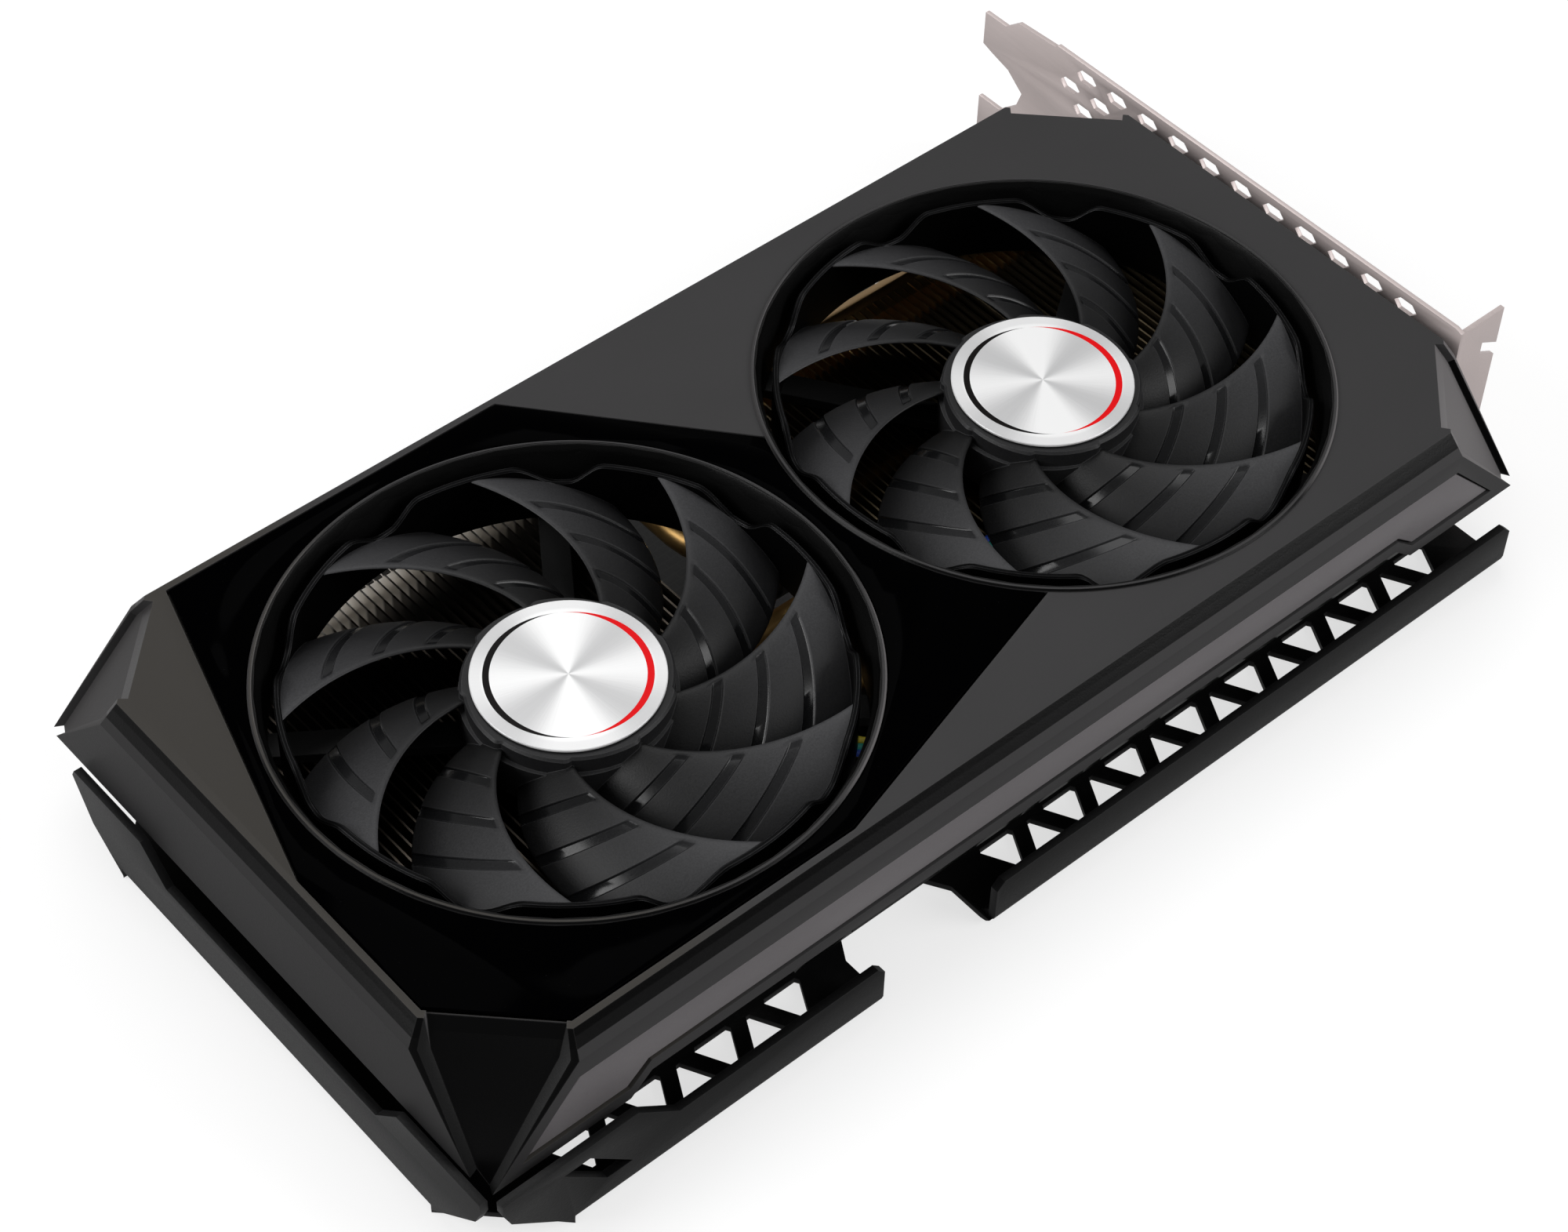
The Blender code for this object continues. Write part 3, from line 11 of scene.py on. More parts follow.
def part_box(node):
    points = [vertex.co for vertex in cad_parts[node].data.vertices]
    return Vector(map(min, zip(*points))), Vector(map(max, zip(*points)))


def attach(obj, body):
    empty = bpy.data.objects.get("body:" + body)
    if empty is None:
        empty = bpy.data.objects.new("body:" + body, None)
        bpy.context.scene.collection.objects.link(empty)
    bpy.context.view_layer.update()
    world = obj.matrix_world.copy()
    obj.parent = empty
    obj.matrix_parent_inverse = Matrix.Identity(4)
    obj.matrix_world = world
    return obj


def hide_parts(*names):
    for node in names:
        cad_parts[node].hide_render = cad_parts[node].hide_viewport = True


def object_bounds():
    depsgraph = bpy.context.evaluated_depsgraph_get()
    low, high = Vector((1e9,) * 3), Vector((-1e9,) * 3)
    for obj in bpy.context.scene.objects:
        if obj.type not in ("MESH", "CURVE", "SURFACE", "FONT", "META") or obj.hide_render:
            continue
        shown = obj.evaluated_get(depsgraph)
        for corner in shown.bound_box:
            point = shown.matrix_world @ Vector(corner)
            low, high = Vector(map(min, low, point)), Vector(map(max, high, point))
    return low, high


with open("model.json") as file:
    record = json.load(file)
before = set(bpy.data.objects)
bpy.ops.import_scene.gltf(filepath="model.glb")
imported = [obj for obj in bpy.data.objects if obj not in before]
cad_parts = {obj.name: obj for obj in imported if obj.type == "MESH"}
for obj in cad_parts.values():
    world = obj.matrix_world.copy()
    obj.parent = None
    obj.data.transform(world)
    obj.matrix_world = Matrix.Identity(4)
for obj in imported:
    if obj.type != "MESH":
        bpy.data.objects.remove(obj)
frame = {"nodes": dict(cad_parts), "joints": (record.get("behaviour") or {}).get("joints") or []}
CAD_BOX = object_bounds()
NODES = frame["nodes"]
MM = 0.001
FAN_CENTRES = {joint["child"].split("_")[0]: Vector(joint["pos_m"]) for joint in frame["joints"]}

# The photograph's camera: where it stands and aims, its lens and sensor in mm, and its tilt
CAMERA_PLACE = Vector((-267.7, -286.2, 450.3)) * MM
CAMERA_AIM = Vector((-8.6, -2.6, 20.0)) * MM
CAMERA_LENS = 79.85
CAMERA_SENSOR = 36.0
CAMERA_ROLL = math.radians(1.95)

# The floor, and each lamp's name, place, size and power
FLOOR_HALF = 3.0
FLOOR_DROP = 0.2 * MM
LAMP_AIM = Vector((0, 0, 0.02))
LAMPS = (("tail_side", (-1.05, 0.45, 0.75), 0.8, 9.5),
         ("front_side", (0.75, -0.95, 0.75), 0.8, 7.5),
         ("top", (0.2, 0.45, 1.3), 0.9, 5.4))

# Shading across curves, and how the edges of CAD nodes are rounded
SMOOTH_ANGLE = math.radians(32)
EDGE_ANGLE = math.radians(30)
FLAT_ANGLE = math.radians(0.5)
MERGE_REACH = 0.002 * MM

# The grain of moulded plastic and powder coat
GRAIN_SIZE = 0.35 * MM
GRAIN_DEPTH = 0.03 * MM

# Shroud: where the dark upper part of its bevel ends, the painted shadow line under its top edge, the
# stretch of X over which its top turns warmer, and the radii between which the painted shade on the duct
# walls ends
BEVEL_LINE = 33.8 * MM
BEVEL_SHADOW_LINE = 35.35 * MM
WARM_RUN = (-80 * MM, -55 * MM)
DUCT_SHADE = (49.3 * MM, 49.45 * MM)
SHROUD_EDGE = 0.35 * MM

# The tail wall's low edge, which is raised along the edges of the corner facets: where the wall and its low
# edge lie, how far the edge rises, and how far the facets' edges run along X and Y for each unit of rise
TAIL_WALL = -110.5 * MM
TAIL_WALL_ENDS = (-56.0 * MM, 57.0 * MM)
TAIL_EDGE_REACH = 0.5 * MM
TAIL_EDGE_RAISE = 2.0 * MM
FACET_EDGE_RUN = (0.09, 0.91)

# The front corner's recess, whose side walls are sloped: its facing, its floor's place along that facing,
# the level line across it, its middle along that line, and where it ends along X and Y
CORNER_FACING = Vector((-1, -1, 1)).normalized()
CORNER_FLOOR = 105.2 * MM
CORNER_FLOOR_REACH = 0.15 * MM
CORNER_LINE = Vector((1, -1, 0)).normalized()
CORNER_MIDDLE = -39.5 * MM
CORNER_ENDS = (-90 * MM, -35 * MM)

# How far the feet of those walls slide, low and high, and between which values the sloped walls face
# the corner's way
CORNER_SLIDES = (1.1 * MM, 1.8 * MM)
CORNER_WALL_FACING = (0.6, 0.93)

# The ducts round the fans, and how far their smooth collars stand off them, inside and outside
DUCT_RADIUS = 48.3 * MM
DUCT_OUTER = 50.0 * MM
COLLAR_COVER = (0.2 * MM, 0.15 * MM)
COLLAR_WALL = 1.2 * MM
COLLAR_WALL_TOP = 2.2 * MM

# The collar's lip: how far its points lie in from the outer face, and how far over the shroud's top
COLLAR_LIP = ((0.85 * MM, -0.2 * MM), (0.6 * MM, 0.08 * MM), (0.3 * MM, 0.08 * MM), (0.0, -0.25 * MM),
              (0.0, -0.8 * MM), (1.0 * MM, -2.6 * MM))

# Wires along one arm of each fan's spider
ARM_ANGLES = {"tail": math.radians(-35.0), "bracket": math.radians(215.0)}
ARM_GAP = 1.0 * MM
WIRE_SIZE = (1.3 * MM, 0.66 * MM)
WIRE_SPACING = 1.1
WIRE_RUN = (18.0 * MM, 48.0 * MM)
WIRE_SWING = math.radians(-10.5)
WIRE_BEND = (22.0 * MM, 37.0 * MM)
WIRE_WAVE = 0.12 * MM
WIRE_WAVE_STEP = 0.9
WIRE_TONES = {"yellow": ((0.7, 0.56, 0.03), (0.9, 0.76, 0.08)),
              "green": ((0.02, 0.34, 0.26), (0.05, 0.5, 0.4)),
              "blue": ((0.02, 0.06, 0.4), (0.05, 0.12, 0.65))}

# The board's edge connector
CONTACT_SIZE = (0.7 * MM, 4.2 * MM, 0.04 * MM)
CONTACT_PITCH = 1.0 * MM
CONTACT_COUNT = 82
CONTACT_FIRST = 1.7 * MM
CONTACT_SETBACK = 1.4 * MM
TAB_END = 68.0 * MM
TAB_KEY = (53.9 * MM, 56.9 * MM)

# The display sockets' tongues, with the contacts on them
SOCKET_COUNT = 4
SOCKET_DEPTH = 9.0 * MM
TONGUE_HALF = (5.4 * MM, 0.7 * MM)
TONGUE_SETBACK = 2.0 * MM
TONGUE_CONTACTS = 10
TONGUE_CONTACT_HALF = 0.25 * MM
TONGUE_CONTACT_ENDS = (1.0 * MM, 0.6 * MM)

# The power socket's pins
POWER_COLUMNS = 4
POWER_ROWS = 2
POWER_CELL_PITCH = 4.2 * MM
POWER_CELL_DEPTH = 11.0 * MM
POWER_PIN = 1.2 * MM
POWER_PIN_SETBACK = 4.0 * MM

# Fan rotor, in the rotor's own frame with its low edge at zero
FAN_SIDES = ("tail", "bracket")
FAN_PHASES = {"tail": math.radians(33.0), "bracket": math.radians(22.0)}
FAN_BLADES = 9
FAN_PITCH_ANGLE = 2 * math.pi / FAN_BLADES
RING_WALL = 1.1 * MM
RING_LOW_TOP = 8.2 * MM
RING_HIGH_TOP = 12.2 * MM
RING_DIP = [math.radians(angle) for angle in (11.0, 18.5, 20.6, 30.6)]
BLADE_SWEEP = math.radians(39.0)
BLADE_CHORD = math.radians(31.0)
BLADE_THICK = 1.1 * MM
BLADE_SQUARENESS = 8
BLADE_RISE = 9.3 * MM
BLADE_ROOT_SHARE = 0.73
BLADE_LOW = 2.4 * MM
BLADE_CAMBER = 1.1 * MM

# The hub, the share of each ramp that climbs, and the depths under its top between which the ramps start
HUB_RADIUS = 17.6 * MM
HUB_WALL = 1.5 * MM
HUB_RAMP = 0.6 * MM
HUB_CLIMB = 0.94
HUB_STEP = (3.4 * MM, 3.2 * MM)
HUB_RIM_GAP = 0.2 * MM
HUB_EDGE = 0.4 * MM
HUB_FOOT = (0.2 * MM, 0.3 * MM)
HUB_LABEL_GAP = 0.3 * MM
# The hub's mark on the blades' scale, which sets where in the blades' painted shade the hub falls
HUB_TONE = (0.35, 1.0, 0.0)

# Polished grooves along each blade: where they lie on its span, where they start on its chord,
# and what share of the half thickness they take away
GROOVE_SPANS = (0.235, 0.485, 0.735)
GROOVE_HALF = 0.034
GROOVE_WALL = 0.01
GROOVE_START = 0.955
GROOVE_RUN_OUT = 0.07
GROOVE_SHARE = 0.55

# Hub label: its radius, where its dark arc is thickest as an angle about the fan's axis, and, as shares of
# the radius, where the arcs and the duller rim lie and how thick the arcs are
LABEL_LOW, LABEL_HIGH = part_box("tail_hub_label")
LABEL_RADIUS = max(LABEL_HIGH - LABEL_LOW) / 2
LABEL_EDGE = 0.12 * MM
LABEL_TURN = math.radians(148)
LABEL_ARC = 0.83
LABEL_DARK_HALF = 0.034
LABEL_RED_HALF = 0.036
LABEL_RIM = (0.86, 0.9)

# Fine fins that stand in the fin stacks' place: the depth and height of the folds at their rear foot, the
# depth and thickness of the tabs along their rear top, and the tabs' share of the pitch
FIN_PITCH = 1.7 * MM
FIN_THICK = 0.35 * MM
FIN_EDGE = 7.0 * MM
FIN_SOCKET_GAP = 1.0 * MM
FIN_FOOT = (0.5 * MM, 1.2 * MM)
FIN_TAB = (3.0 * MM, 0.3 * MM)
FIN_TAB_SHARE = 0.8


class Wire:
    """A value in a finish's node tree; arithmetic on it adds Math nodes."""

    def __init__(self, finish, socket):
        self.finish = finish
        self.socket = socket

    def math(self, operation, *values):
        return self.finish.node("ShaderNodeMath", {"operation": operation}, dict(enumerate(values)))

    def __add__(self, other):
        return self.math("ADD", self, other)

    def __sub__(self, other):
        return self.math("SUBTRACT", self, other)

    def __rsub__(self, other):
        return self.math("SUBTRACT", other, self)

    def __mul__(self, other):
        return self.math("MULTIPLY", self, other)

    def __pow__(self, other):
        return self.math("POWER", self, other)

    def __lt__(self, other):
        return self.math("LESS_THAN", self, other)

    def __gt__(self, other):
        return self.math("GREATER_THAN", self, other)

    def __abs__(self):
        return self.math("ABSOLUTE", self)

    __radd__ = __add__
    __rmul__ = __mul__


class Graph:
    """A node tree to which nodes are added by name."""

    def __init__(self, tree):
        self.tree = tree

    def feed(self, socket, value):
        """Links a socket to a wire, or sets its plain value."""
        if isinstance(value, Wire):
            self.tree.links.new(value.socket, socket)
        elif socket.type == "RGBA" and len(value) == 3:
            socket.default_value = (*value, 1)
        else:
            socket.default_value = value

    def node(self, kind, settings, sockets, output=0):
        """Any node: its settings are set first, then the values or links of its sockets."""
        made = self.tree.nodes.new(kind)
        for key, value in settings.items():
            setattr(made, key, value)
        for key, value in sockets.items():
            self.feed(made.inputs[key], value)
        return Wire(self, made.outputs[output])


class Finish(Graph):
    """A procedural material round one Principled shader; constants go straight on its sockets."""

    def __init__(self, name, **constants):
        self.material = bpy.data.materials.new(name)
        self.material.use_nodes = True
        super().__init__(self.material.node_tree)
        self.shader = self.tree.nodes["Principled BSDF"]
        for key, value in constants.items():
            self.set(key, value)

    def set(self, key, value):
        """Sets or links one of the shader's sockets, named in words joined by underscores."""
        name = "Specular IOR Level" if key == "specular" else key.replace("_", " ").title()
        self.feed(self.shader.inputs[name], value)

    def place(self):
        """The surface's place in the card's frame, in metres."""
        return self.node("ShaderNodeTexCoord", {}, {}, "Object")

    def axes(self):
        """That place's X, Y and Z."""
        place = self.place()
        return [self.node("ShaderNodeSeparateXYZ", {}, {0: place}, axis) for axis in range(3)]

    def facing(self, direction):
        """How far the surface faces a direction: 1 straight at it, 0 at right angles."""
        normal = self.node("ShaderNodeNewGeometry", {}, {}, "Normal")
        aim = tuple(Vector(direction).normalized())
        return self.node("ShaderNodeVectorMath", {"operation": "DOT_PRODUCT"}, {0: normal, 1: aim}, "Value")

    def noise(self, size, detail=2.0, stretch=None):
        """Soft noise between 0 and 1 whose spots are about size metres across."""
        place = self.place()
        if stretch:
            place = self.node("ShaderNodeVectorMath", {"operation": "MULTIPLY"}, {0: place, 1: stretch})
        return self.node("ShaderNodeTexNoise", {}, {"Vector": place, "Scale": 1 / size, "Detail": detail})

    def mix(self, share, first, second):
        """The first colour, or the second where share is 1."""
        return self.node("ShaderNodeMix", {"data_type": "RGBA"}, {0: share, 6: first, 7: second}, 2)

    def smooth(self, value, low, high):
        """0 below low, 1 above high and a soft step between."""
        return self.node("ShaderNodeMapRange", {"interpolation_type": "SMOOTHSTEP"},
                         {"Value": value, "From Min": low, "From Max": high})

    def bump(self, height, distance):
        """Small relief: height 1 stands distance metres over height 0."""
        self.set("normal", self.node("ShaderNodeBump", {}, {"Height": height, "Distance": distance}))

    def edge_highlight(self, reach):
        """1 on sharp outer edges, fading over reach metres; the finishes paint a highlight there."""
        edge_rounding = self.node("ShaderNodeBevel", {"samples": 4}, {"Radius": reach})
        plain = self.node("ShaderNodeNewGeometry", {}, {}, "Normal")
        match = self.node("ShaderNodeVectorMath", {"operation": "DOT_PRODUCT"}, {0: edge_rounding, 1: plain}, "Value")
        return self.smooth(1 - match, 0.02, 0.2)


def grained_plastic(name, dark, light, roughness):
    """Moulded plastic with a fine sparked grain and a slow change of tone."""
    finish = Finish(name, specular=0.22)
    spots = finish.noise(GRAIN_SIZE, 3.0)
    slow = finish.noise(30 * MM, 2.0)
    tone = 0.55 * slow + 0.45 * spots
    finish.set("base_color", finish.mix(tone, dark, light))
    finish.set("roughness", roughness - 0.08 + 0.16 * spots)
    finish.bump(spots, GRAIN_DEPTH)
    return finish


def shaded_duct_walls(finish, x, y):
    """1 on the walls of the two ducts, where the shroud gets painted shade."""
    inside = []
    for centre in FAN_CENTRES.values():
        across, along = x - centre.x, y - centre.y
        inner, outer = DUCT_SHADE
        inside.append(1 - finish.smooth(across * across + along * along, inner ** 2, outer ** 2))
    return sum(inside)


def shroud_plastic():
    """Matt top, darker polished bevels, satin side bands with painted light on those facing the front, grey
    corner facets with painted light and shade, one black facet, painted shade on the duct walls and painted
    highlights on edges.
    """
    finish = Finish("shroud_plastic", specular=0.12)
    x, y, z = finish.axes()
    spots = finish.noise(GRAIN_SIZE, 3.0)
    slow = finish.noise(35 * MM, 2.0)
    tone = 0.55 * slow + 0.45 * spots
    up = finish.facing((0, 0, 1))
    lit_facet_mask = finish.smooth(finish.facing((1, -1, 1)), 0.9, 0.97)
    shaded_facet_mask = finish.smooth(finish.facing((-1, 1, 1)), 0.9, 0.97)
    corner_black = finish.smooth(finish.facing((-1, -1, 1)), 0.9, 0.97)
    corner_plain = finish.smooth(finish.facing((1, 1, 1)), 0.9, 0.97)
    sloped = finish.smooth(up, 0.3, 0.55) * (1 - finish.smooth(up, 0.9, 0.98))
    bevel = sloped * finish.smooth(z, BEVEL_LINE - 0.05 * MM, BEVEL_LINE + 0.05 * MM)
    shadow_line = bevel * finish.smooth(z, BEVEL_SHADOW_LINE - 0.1 * MM, BEVEL_SHADOW_LINE + 0.1 * MM)
    warm = 1 - finish.smooth(x, *WARM_RUN)
    top = finish.mix(tone, (0.033, 0.0325, 0.033), (0.0455, 0.0445, 0.0455))
    top = finish.mix(warm, top, (0.042, 0.039, 0.035))
    # Painted light: the side bands that face the front get a lighter copy of the band colour
    front = finish.smooth(finish.facing((0, -1, 0)), 0.5, 0.8)
    side_band = finish.mix(tone, (0.024, 0.0235, 0.024), (0.033, 0.0322, 0.0328))
    lit_front_band = finish.mix(tone, (0.042, 0.041, 0.042), (0.056, 0.0545, 0.0555))
    colour = finish.mix(finish.smooth(up, 0.6, 0.95), finish.mix(front, side_band, lit_front_band), top)
    polished = finish.mix(tone, (0.0035, 0.0035, 0.0035), (0.007, 0.007, 0.0072))
    colour = finish.mix(bevel + corner_plain, colour, polished)
    # Painted shadow: a near black line just under the top edge
    colour = finish.mix(shadow_line, colour, (0.0003, 0.0003, 0.0003))
    # Painted light and shade: two corner facets of one grey finish get a lit and a shaded copy of it
    lit_facet = finish.mix(tone, (0.128, 0.121, 0.123), (0.158, 0.15, 0.152))
    colour = finish.mix(lit_facet_mask, colour, lit_facet)
    shaded_facet = finish.mix(tone, (0.034, 0.0325, 0.033), (0.044, 0.042, 0.0425))
    colour = finish.mix(shaded_facet_mask, colour, shaded_facet)
    colour = finish.mix(corner_black, colour, (0.0014, 0.0014, 0.0015))
    # Painted shade: the duct walls, which lie in the fans' shade, are painted near black
    colour = finish.mix(shaded_duct_walls(finish, x, y), colour, (0.0015, 0.0015, 0.0015))
    # Painted highlight: a paler grey along the rounded edges
    finish.set("base_color", finish.mix(finish.edge_highlight(0.35 * MM) * 0.55, colour, (0.07, 0.068, 0.068)))
    finish.set("roughness", 0.46 + 0.14 * spots - 0.2 * bevel - 0.2 * corner_black)
    finish.bump(spots, 0.02 * MM)
    return finish


def tray_paint():
    """Black powder coat, with painted shade on the level faces and on the front, and painted highlights on
    the edges.
    """
    finish = Finish("tray_black", specular=0.2)
    spots = finish.noise(GRAIN_SIZE, 3.0)
    tone = 0.55 * finish.noise(30 * MM, 2.0) + 0.45 * spots
    level = finish.smooth(finish.facing((0, 0, 1)), 0.6, 0.9)
    front = finish.smooth(finish.facing((0, -1, 0)), 0.6, 0.9)
    colour = finish.mix(tone, (0.0085, 0.0085, 0.0088), (0.016, 0.016, 0.0165))
    # Painted shade: the level faces and the faces to the front are painted darker
    colour = finish.mix(level * 0.8 + front * 0.75, colour, (0.0012, 0.0012, 0.0013))
    # Painted highlight: a paler grey along the rounded edges
    finish.set("base_color", finish.mix(finish.edge_highlight(0.3 * MM) * 0.3, colour, (0.05, 0.05, 0.051)))
    finish.set("roughness", 0.36 + 0.16 * spots)
    finish.bump(spots, GRAIN_DEPTH)
    return finish


def brushed_metal(name, dark, light, roughness, stretch, metallic=1.0):
    """Sheet metal with fine lines along the direction in which the noise is drawn out."""
    finish = Finish(name, metallic=metallic)
    lines = finish.noise(0.6 * MM, 3.0, stretch)
    slow = finish.noise(18 * MM, 2.0)
    finish.set("base_color", finish.mix(0.5 * lines + 0.5 * slow, dark, light))
    finish.set("roughness", roughness - 0.1 + 0.2 * lines)
    finish.bump(lines, 0.01 * MM)
    return finish


def fin_metal(side, shaded_dark, shaded_light, edge):
    """Thin sheet fins in painted shade, with a painted highlight along the rear edge of the stack."""
    finish = Finish(f"{side}_fin_metal", metallic=1.0)
    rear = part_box(f"{side}_fin_stack")[1].y - FIN_EDGE
    lines = finish.noise(0.6 * MM, 3.0, (1, 0.05, 1))
    slow = finish.noise(18 * MM, 2.0)
    # Painted highlight: the rear edge of the stack gets the pale edge colour
    lit_rear = finish.smooth(finish.axes()[1], rear - MM, rear)
    finish.set("base_color", finish.mix(lit_rear, finish.mix(0.5 * lines + 0.5 * slow, shaded_dark, shaded_light), edge))
    finish.set("roughness", 0.3 + 0.2 * lines)
    finish.bump(lines, 0.01 * MM)
    return finish


def gloss_black():
    """Deep black gloss with a few specks of dust."""
    finish = Finish("gloss_black", specular=0.005)
    dust = finish.noise(0.5 * MM, 1.0)
    swirl = finish.noise(22 * MM, 2.0)
    finish.set("base_color", finish.mix(finish.smooth(dust, 0.74, 0.8), (0.0003, 0.0003, 0.0004),
                                        (0.003, 0.003, 0.0033)))
    finish.set("roughness", 0.05 + 0.08 * swirl)
    return finish


def fan_plastic():
    """Satin black, paler towards the ring and the leading edges by painted light and shade, with polished
    grooves along each blade, painted highlights on the edges, and a ring left in the darkest painted shade
    that takes little light."""
    finish = Finish("fan_plastic", specular=0.28)
    mark = finish.node("ShaderNodeAttribute", {"attribute_name": "blade_place"}, {}, "Vector")
    span, chord, kind = [finish.node("ShaderNodeSeparateXYZ", {}, {0: mark}, i) for i in range(3)]
    polished = finish.smooth(kind, 1.3, 1.7)
    spots = finish.noise(0.32 * MM, 2.0)
    shaded_tone = finish.mix(spots, (0.002, 0.002, 0.0021), (0.0055, 0.0055, 0.0058))
    lit_tone = finish.mix(spots, (0.022, 0.022, 0.0233), (0.058, 0.058, 0.0613))
    # Painted shade: darker towards the hub and the trailing edges, where the blades shade each other
    light_share = finish.smooth(span, 0.0, 1.05) * (0.3 + 0.7 * finish.smooth(chord, 0.15, 1.0))
    colour = finish.mix(polished * 0.6, finish.mix(light_share, shaded_tone, lit_tone), (0.004, 0.0042, 0.0045))
    # Painted highlight: a paler grey on the rounded edges, stronger on the ring
    edge_rounding = finish.edge_highlight(0.25 * MM)
    ring = (1 - finish.smooth(kind, 0.3, 0.7)) * (1 - finish.smooth(chord, 0.3, 0.7))
    finish.set("base_color", finish.mix(edge_rounding * (0.45 + 0.5 * ring), colour, (0.1, 0.1, 0.103)))
    finish.set("metallic", ring * 0.9)
    finish.set("roughness", 0.42 + 0.14 * spots - 0.3 * polished)
    finish.bump((1 - polished) * spots, 0.03 * MM)
    return finish


def hub_label(centre):
    """A radially brushed silver disc with painted highlight lobes and two tapering arcs, one dark and one
    red.
    """
    finish = Finish("hub_label", specular=0.1)
    x, y, _ = finish.axes()
    across, along = x - centre.x, y - centre.y
    distance = (across * across + along * along) ** 0.5 * (1 / LABEL_RADIUS)
    angle = finish.node("ShaderNodeMath", {"operation": "ARCTAN2"}, {0: along, 1: across})
    turn = angle - LABEL_TURN
    place = finish.node("ShaderNodeCombineXYZ", {}, {0: angle, 1: distance * 0.02})
    hairs = finish.node("ShaderNodeTexNoise", {}, {"Vector": place, "Scale": 60.0, "Detail": 3.0})
    # Painted highlight: bright lobes round the disc that stand in for the brushed metal's shine
    lobe = finish.node("ShaderNodeMath", {"operation": "COSINE"}, {0: turn * 4})
    pair = finish.node("ShaderNodeMath", {"operation": "COSINE"}, {0: turn * 2})
    highlight_lobes = finish.smooth(0.55 * lobe - 0.25 * pair + 0.3 * hairs, -0.65, 0.75)
    rim = finish.smooth(distance, *LABEL_RIM)
    silver = finish.mix(highlight_lobes, (0.53, 0.53, 0.535), (0.92, 0.92, 0.92))
    silver = finish.mix(rim * 0.4, silver, (0.62, 0.62, 0.625))
    side = finish.node("ShaderNodeMath", {"operation": "COSINE"}, {0: turn})
    offset = abs(distance - LABEL_ARC)
    dark_arc = (offset < LABEL_DARK_HALF * finish.smooth(side, 0.0, 0.95)) * (side > 0.02)
    red_arc = (offset < LABEL_RED_HALF * finish.smooth(side * -1, 0.0, 0.95)) * (side < -0.02)
    colour = finish.mix(dark_arc, silver, (0.004, 0.003, 0.003))
    finish.set("base_color", finish.mix(red_arc, colour, (0.7, 0.002, 0.005)))
    finish.set("metallic", 0.25 * (1 - dark_arc) * (1 - red_arc))
    finish.set("roughness", 0.3 + 0.16 * hairs)
    finish.bump(hairs, 0.008 * MM)
    return finish


def copper(name, dark, light):
    """Bare copper with slow stains."""
    finish = Finish(name, metallic=1.0)
    stain = finish.noise(6 * MM, 3.0)
    finish.set("base_color", finish.mix(stain, dark, light))
    finish.set("roughness", 0.32 + 0.2 * stain)
    return finish


def solder_mask():
    """Black board with faint copper tracks under its lacquer."""
    finish = Finish("solder_mask", coat_weight=0.3)
    tracks = finish.node("ShaderNodeTexBrick", {}, {"Vector": finish.place(), "Scale": 160.0,
                                                    "Mortar Size": 0.03}, "Fac")
    spots = finish.noise(1.2 * MM)
    share = tracks * 0.6 + 0.3 * spots
    finish.set("base_color", finish.mix(share, (0.006, 0.008, 0.007), (0.03, 0.034, 0.03)))
    finish.set("roughness", 0.3 + 0.15 * spots)
    return finish


def soft_step(value, low, high):
    """0 below low, 1 above high and a smooth climb between."""
    share = min(1.0, max(0.0, (value - low) / (high - low)))
    return share * share * (3 - 2 * share)


def ring_top(angle):
    """Height of the ring's edge: level round each blade's leading tip, with a dip between the tips."""
    turn = angle % FAN_PITCH_ANGLE
    fall, low, climb, level = RING_DIP
    share = 1 - soft_step(turn, fall, low) if turn < climb else soft_step(turn, climb, level)
    return RING_LOW_TOP + (RING_HIGH_TOP - RING_LOW_TOP) * share


def groove_depth(span, chord):
    """How deep the grooves are at a place on a blade, from 0 to 1."""
    along = soft_step(GROOVE_START - chord, 0, GROOVE_RUN_OUT)
    return along * max(soft_step(GROOVE_HALF - abs(span - centre), 0, GROOVE_WALL) for centre in GROOVE_SPANS)


def blade_point(span, chord, ring_radius):
    """A point of one blade's middle surface: span runs out to the ring, chord to the leading edge."""
    inner, outer = HUB_RADIUS - HUB_WALL * 0.6, ring_radius - RING_WALL * 0.5
    radius = inner + (outer - inner) * span
    angle = BLADE_SWEEP * (span - 1) - BLADE_CHORD * (1 - chord)
    rise = BLADE_RISE * (BLADE_ROOT_SHARE + (1 - BLADE_ROOT_SHARE) * span)
    height = BLADE_LOW + rise * chord + BLADE_CAMBER * math.sin(math.pi * chord)
    return Vector((radius * math.cos(angle), radius * math.sin(angle), height))


def skin(form, rings, closed=True):
    """Faces between rows of vertices."""
    for lower, upper in zip(rings, rings[1:]):
        count = len(lower)
        for i in range(count if closed else count - 1):
            j = (i + 1) % count
            form.faces.new((lower[i], lower[j], upper[j], upper[i]))


